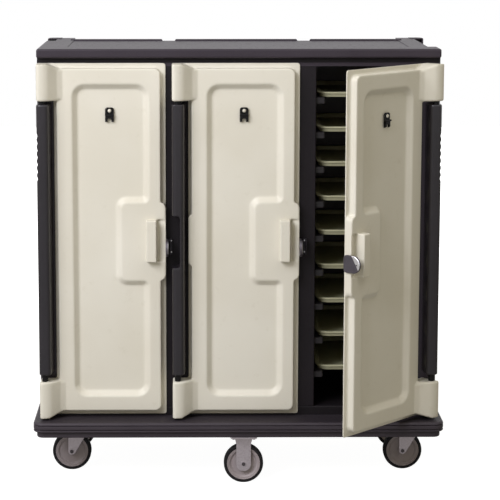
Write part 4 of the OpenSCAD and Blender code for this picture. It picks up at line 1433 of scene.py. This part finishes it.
finishes = {
    "door_plastic": creamPlastic(),
    "shell_plastic": shellPlastic("shellPlastic", (56, 50, 57), (49, 43, 50), 0.28, 0.32),
    "rail_plastic": mottled("railPlastic", ((24, 21, 23), (31, 27, 30)), (9, 4), (0.45, 0.15), (90, 4),
                            (400, 3), (0.0003, 0.4), Specular_IOR_Level=0.4),
    "tray_plastic": trayPlastic(),
    "clip_plastic": mottled("blackPlastic", ((5, 4, 5), (10, 8, 9)), (80, 3), (0.38, 0.15), (80, 3),
                            (700, 2), (0.0002, 0.3), Specular_IOR_Level=0.22),
    "stainless": brushedSteel(),
    "zinc_steel": zincSteel(),
    "hub_plastic": mottled("hubPlastic", ((150, 139, 141), (168, 158, 159)), (30, 4), (0.40, 0.2), (30, 4),
                           (600, 2), (0.0002, 0.4), Specular_IOR_Level=0.45),
    "tyre_rubber": tyreRubber(),
}
deckTone = shellPlastic("deckPlastic", (62, 56, 63), (55, 49, 56), 0.16, 0.42)
# painted shade: a darker copy of the shell plastic for the ribs, the header strip and the bay corners, where
# the cabinet's front lies in shade
shadedFrontTone = shellPlastic("frontPlastic", (27, 22, 26), (21, 17, 20), 0.2, 0.55)
postTone = shellPlastic("postPlastic", (36, 32, 37), (30, 27, 31), 0.5, 0.30)
# painted shade: the base's top and the bay floors, above 0.251 m, are darker as if shaded by the doors and
# the cabinet
baseTone = shellPlastic("basePlastic", (66, 60, 66), (59, 53, 59), 0.2, 0.50, (0.251, (24, 20, 23)))
boltSteel = mottled("boltSteel", ((66, 61, 63), (104, 98, 100)), (120, 4, 0.6), (0.36, 0.25), (120, 4, 0.6),
                    (120, 4, 0.6), (0.0002, 0.4), Metallic=0.8)
special = {  # pieces whose names start so have a finish of their own
    "latch": darkMetal("latchSteel", (82, 77, 84), (98, 93, 100)),
    "strikes": darkMetal("strikeSteel", (46, 43, 47), (60, 57, 62)),
    "axle": boltSteel,
    "rigidAxles": boltSteel,
    "LeftPartition": shadedFrontTone,
    "RightPartition": shadedFrontTone,
    "headerStrip": shadedFrontTone,
    "bayCorners": shadedFrontTone,
    "hingePost": postTone,
    "baseTray": baseTone,
    "topDeck": deckTone,
}
for piece in bpy.data.objects:
    if piece.type == "MESH" and piece.get("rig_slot") in finishes:
        finish = finishes[piece["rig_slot"]]
        for start, other in special.items():
            if piece.name.startswith(start) and not piece.name.startswith("latchNose"):
                finish = other
        piece.data.materials.clear()
        piece.data.materials.append(finish)
pins = frame["nodes"]["hinge_pins"]
pins.data.materials.clear()
pins.data.materials.append(finishes["clip_plastic"])
print("finishes set")

# Floor, light and camera

studio = {
    "floorSize": 24,
    "floorTone": 0.46,
    "glowShares": ((0.30, 0.435), (0.60, 0.77)),
    "floorReach": 6.0,
    "glow": 2.24,
    "surround": 0.32,
    "surroundColour": (1.0, 0.89, 0.62, 1),
    "key": ((-2.9, -3.4, 3.9), (0, 0, 0.9), (3.2, 2.7), 253, (0.97, 0.98, 1.06)),
    "topLight": ((1.3, -1.7, 3.4), (0.4, -0.2, 0.6), (1.6, 1.6), 12, (1, 1, 1)),
}


def studioFloor():
    letGo()
    bpy.ops.mesh.primitive_plane_add(size=1, location=(0, 0, 0))
    bpy.context.object.scale = (studio["floorSize"], studio["floorSize"], 1)
    piece = settle("studioFloor")
    finish = Finish("studioFloorWhite", Roughness=0.9, Specular_IOR_Level=0.0)
    light, dark = [(tone, tone, tone, 1) for tone in (studio["floorTone"], studio["floorTone"] - 0.01)]
    finish.feed("Base Color", finish.blend(finish.noise(0.8, 2), light, dark))
    glow = finish.node("Emission", None, {"Color": (1, 1, 1, 1), "Strength": studio["glow"]})
    seen = finish.node("LightPath")
    lit = Value(finish, finish.shader.outputs[0])
    away = finish.node("VectorMath", {"operation": "LENGTH"}, {0: finish.place()}, 1)
    share = finish.ramp(away / studio["floorReach"], studio["glowShares"])
    mixed = finish.node("MixShader", None, {0: seen * share, 1: lit, 2: glow})
    finish.tree.links.new(mixed.socket, finish.tree.nodes["Material Output"].inputs[0])
    piece.data.materials.append(finish.material)


def studioWorld():  # white to the camera and to mirrored and bent rays, and a soft tone to the rest
    world = bpy.data.worlds.new("studioWorld")
    world.use_nodes = True
    bpy.context.scene.world = world
    nodes, links = world.node_tree.nodes, world.node_tree.links
    surround, white = nodes["Background"], nodes.new("ShaderNodeBackground")
    surround.inputs[0].default_value = studio["surroundColour"]
    surround.inputs[1].default_value = studio["surround"]
    white.inputs[0].default_value = (1, 1, 1, 1)
    white.inputs[1].default_value = 1.0
    path = nodes.new("ShaderNodeLightPath")
    share = path.outputs["Is Camera Ray"]
    for ray in ("Is Glossy Ray", "Is Transmission Ray"):
        either = nodes.new("ShaderNodeMath")
        either.operation = "MAXIMUM"
        links.new(share, either.inputs[0])
        links.new(path.outputs[ray], either.inputs[1])
        share = either.outputs[0]
    choice = nodes.new("ShaderNodeMixShader")
    for socket, source in enumerate((share, surround.outputs[0], white.outputs[0])):
        links.new(source, choice.inputs[socket])
    links.new(choice.outputs[0], nodes["World Output"].inputs[0])


def softbox(name, spot, aim, size, power, tint):
    letGo()
    bpy.ops.object.light_add(type="AREA", location=spot)
    lamp = bpy.context.object
    lamp.name = name
    lamp.data.shape = "RECTANGLE"
    lamp.data.size, lamp.data.size_y = size
    lamp.data.energy = power
    lamp.data.color = tint
    lamp.rotation_euler = (Vector(aim) - Vector(spot)).to_track_quat("-Z", "Y").to_euler()


studioFloor()
studioWorld()
softbox("keyLight", *studio["key"])
softbox("topLight", *studio["topLight"])

camera = {
    "spot": (-0.161, -7.108, 2.164),
    "yaw": math.radians(0.490),
    "pitch": math.radians(8.248),
    "lens": 133.24,
    "shift": (0.0761, -0.1300),
}
letGo()
bpy.ops.object.camera_add(
    location=camera["spot"], rotation=(math.pi / 2 - camera["pitch"], 0, -camera["yaw"]))
view = bpy.context.object
view.name = "frontView"
view.data.sensor_width = 36
view.data.lens = camera["lens"]
view.data.shift_x, view.data.shift_y = camera["shift"]
bpy.context.scene.camera = view
bpy.context.scene.view_settings.view_transform = "Standard"
print("studio set")
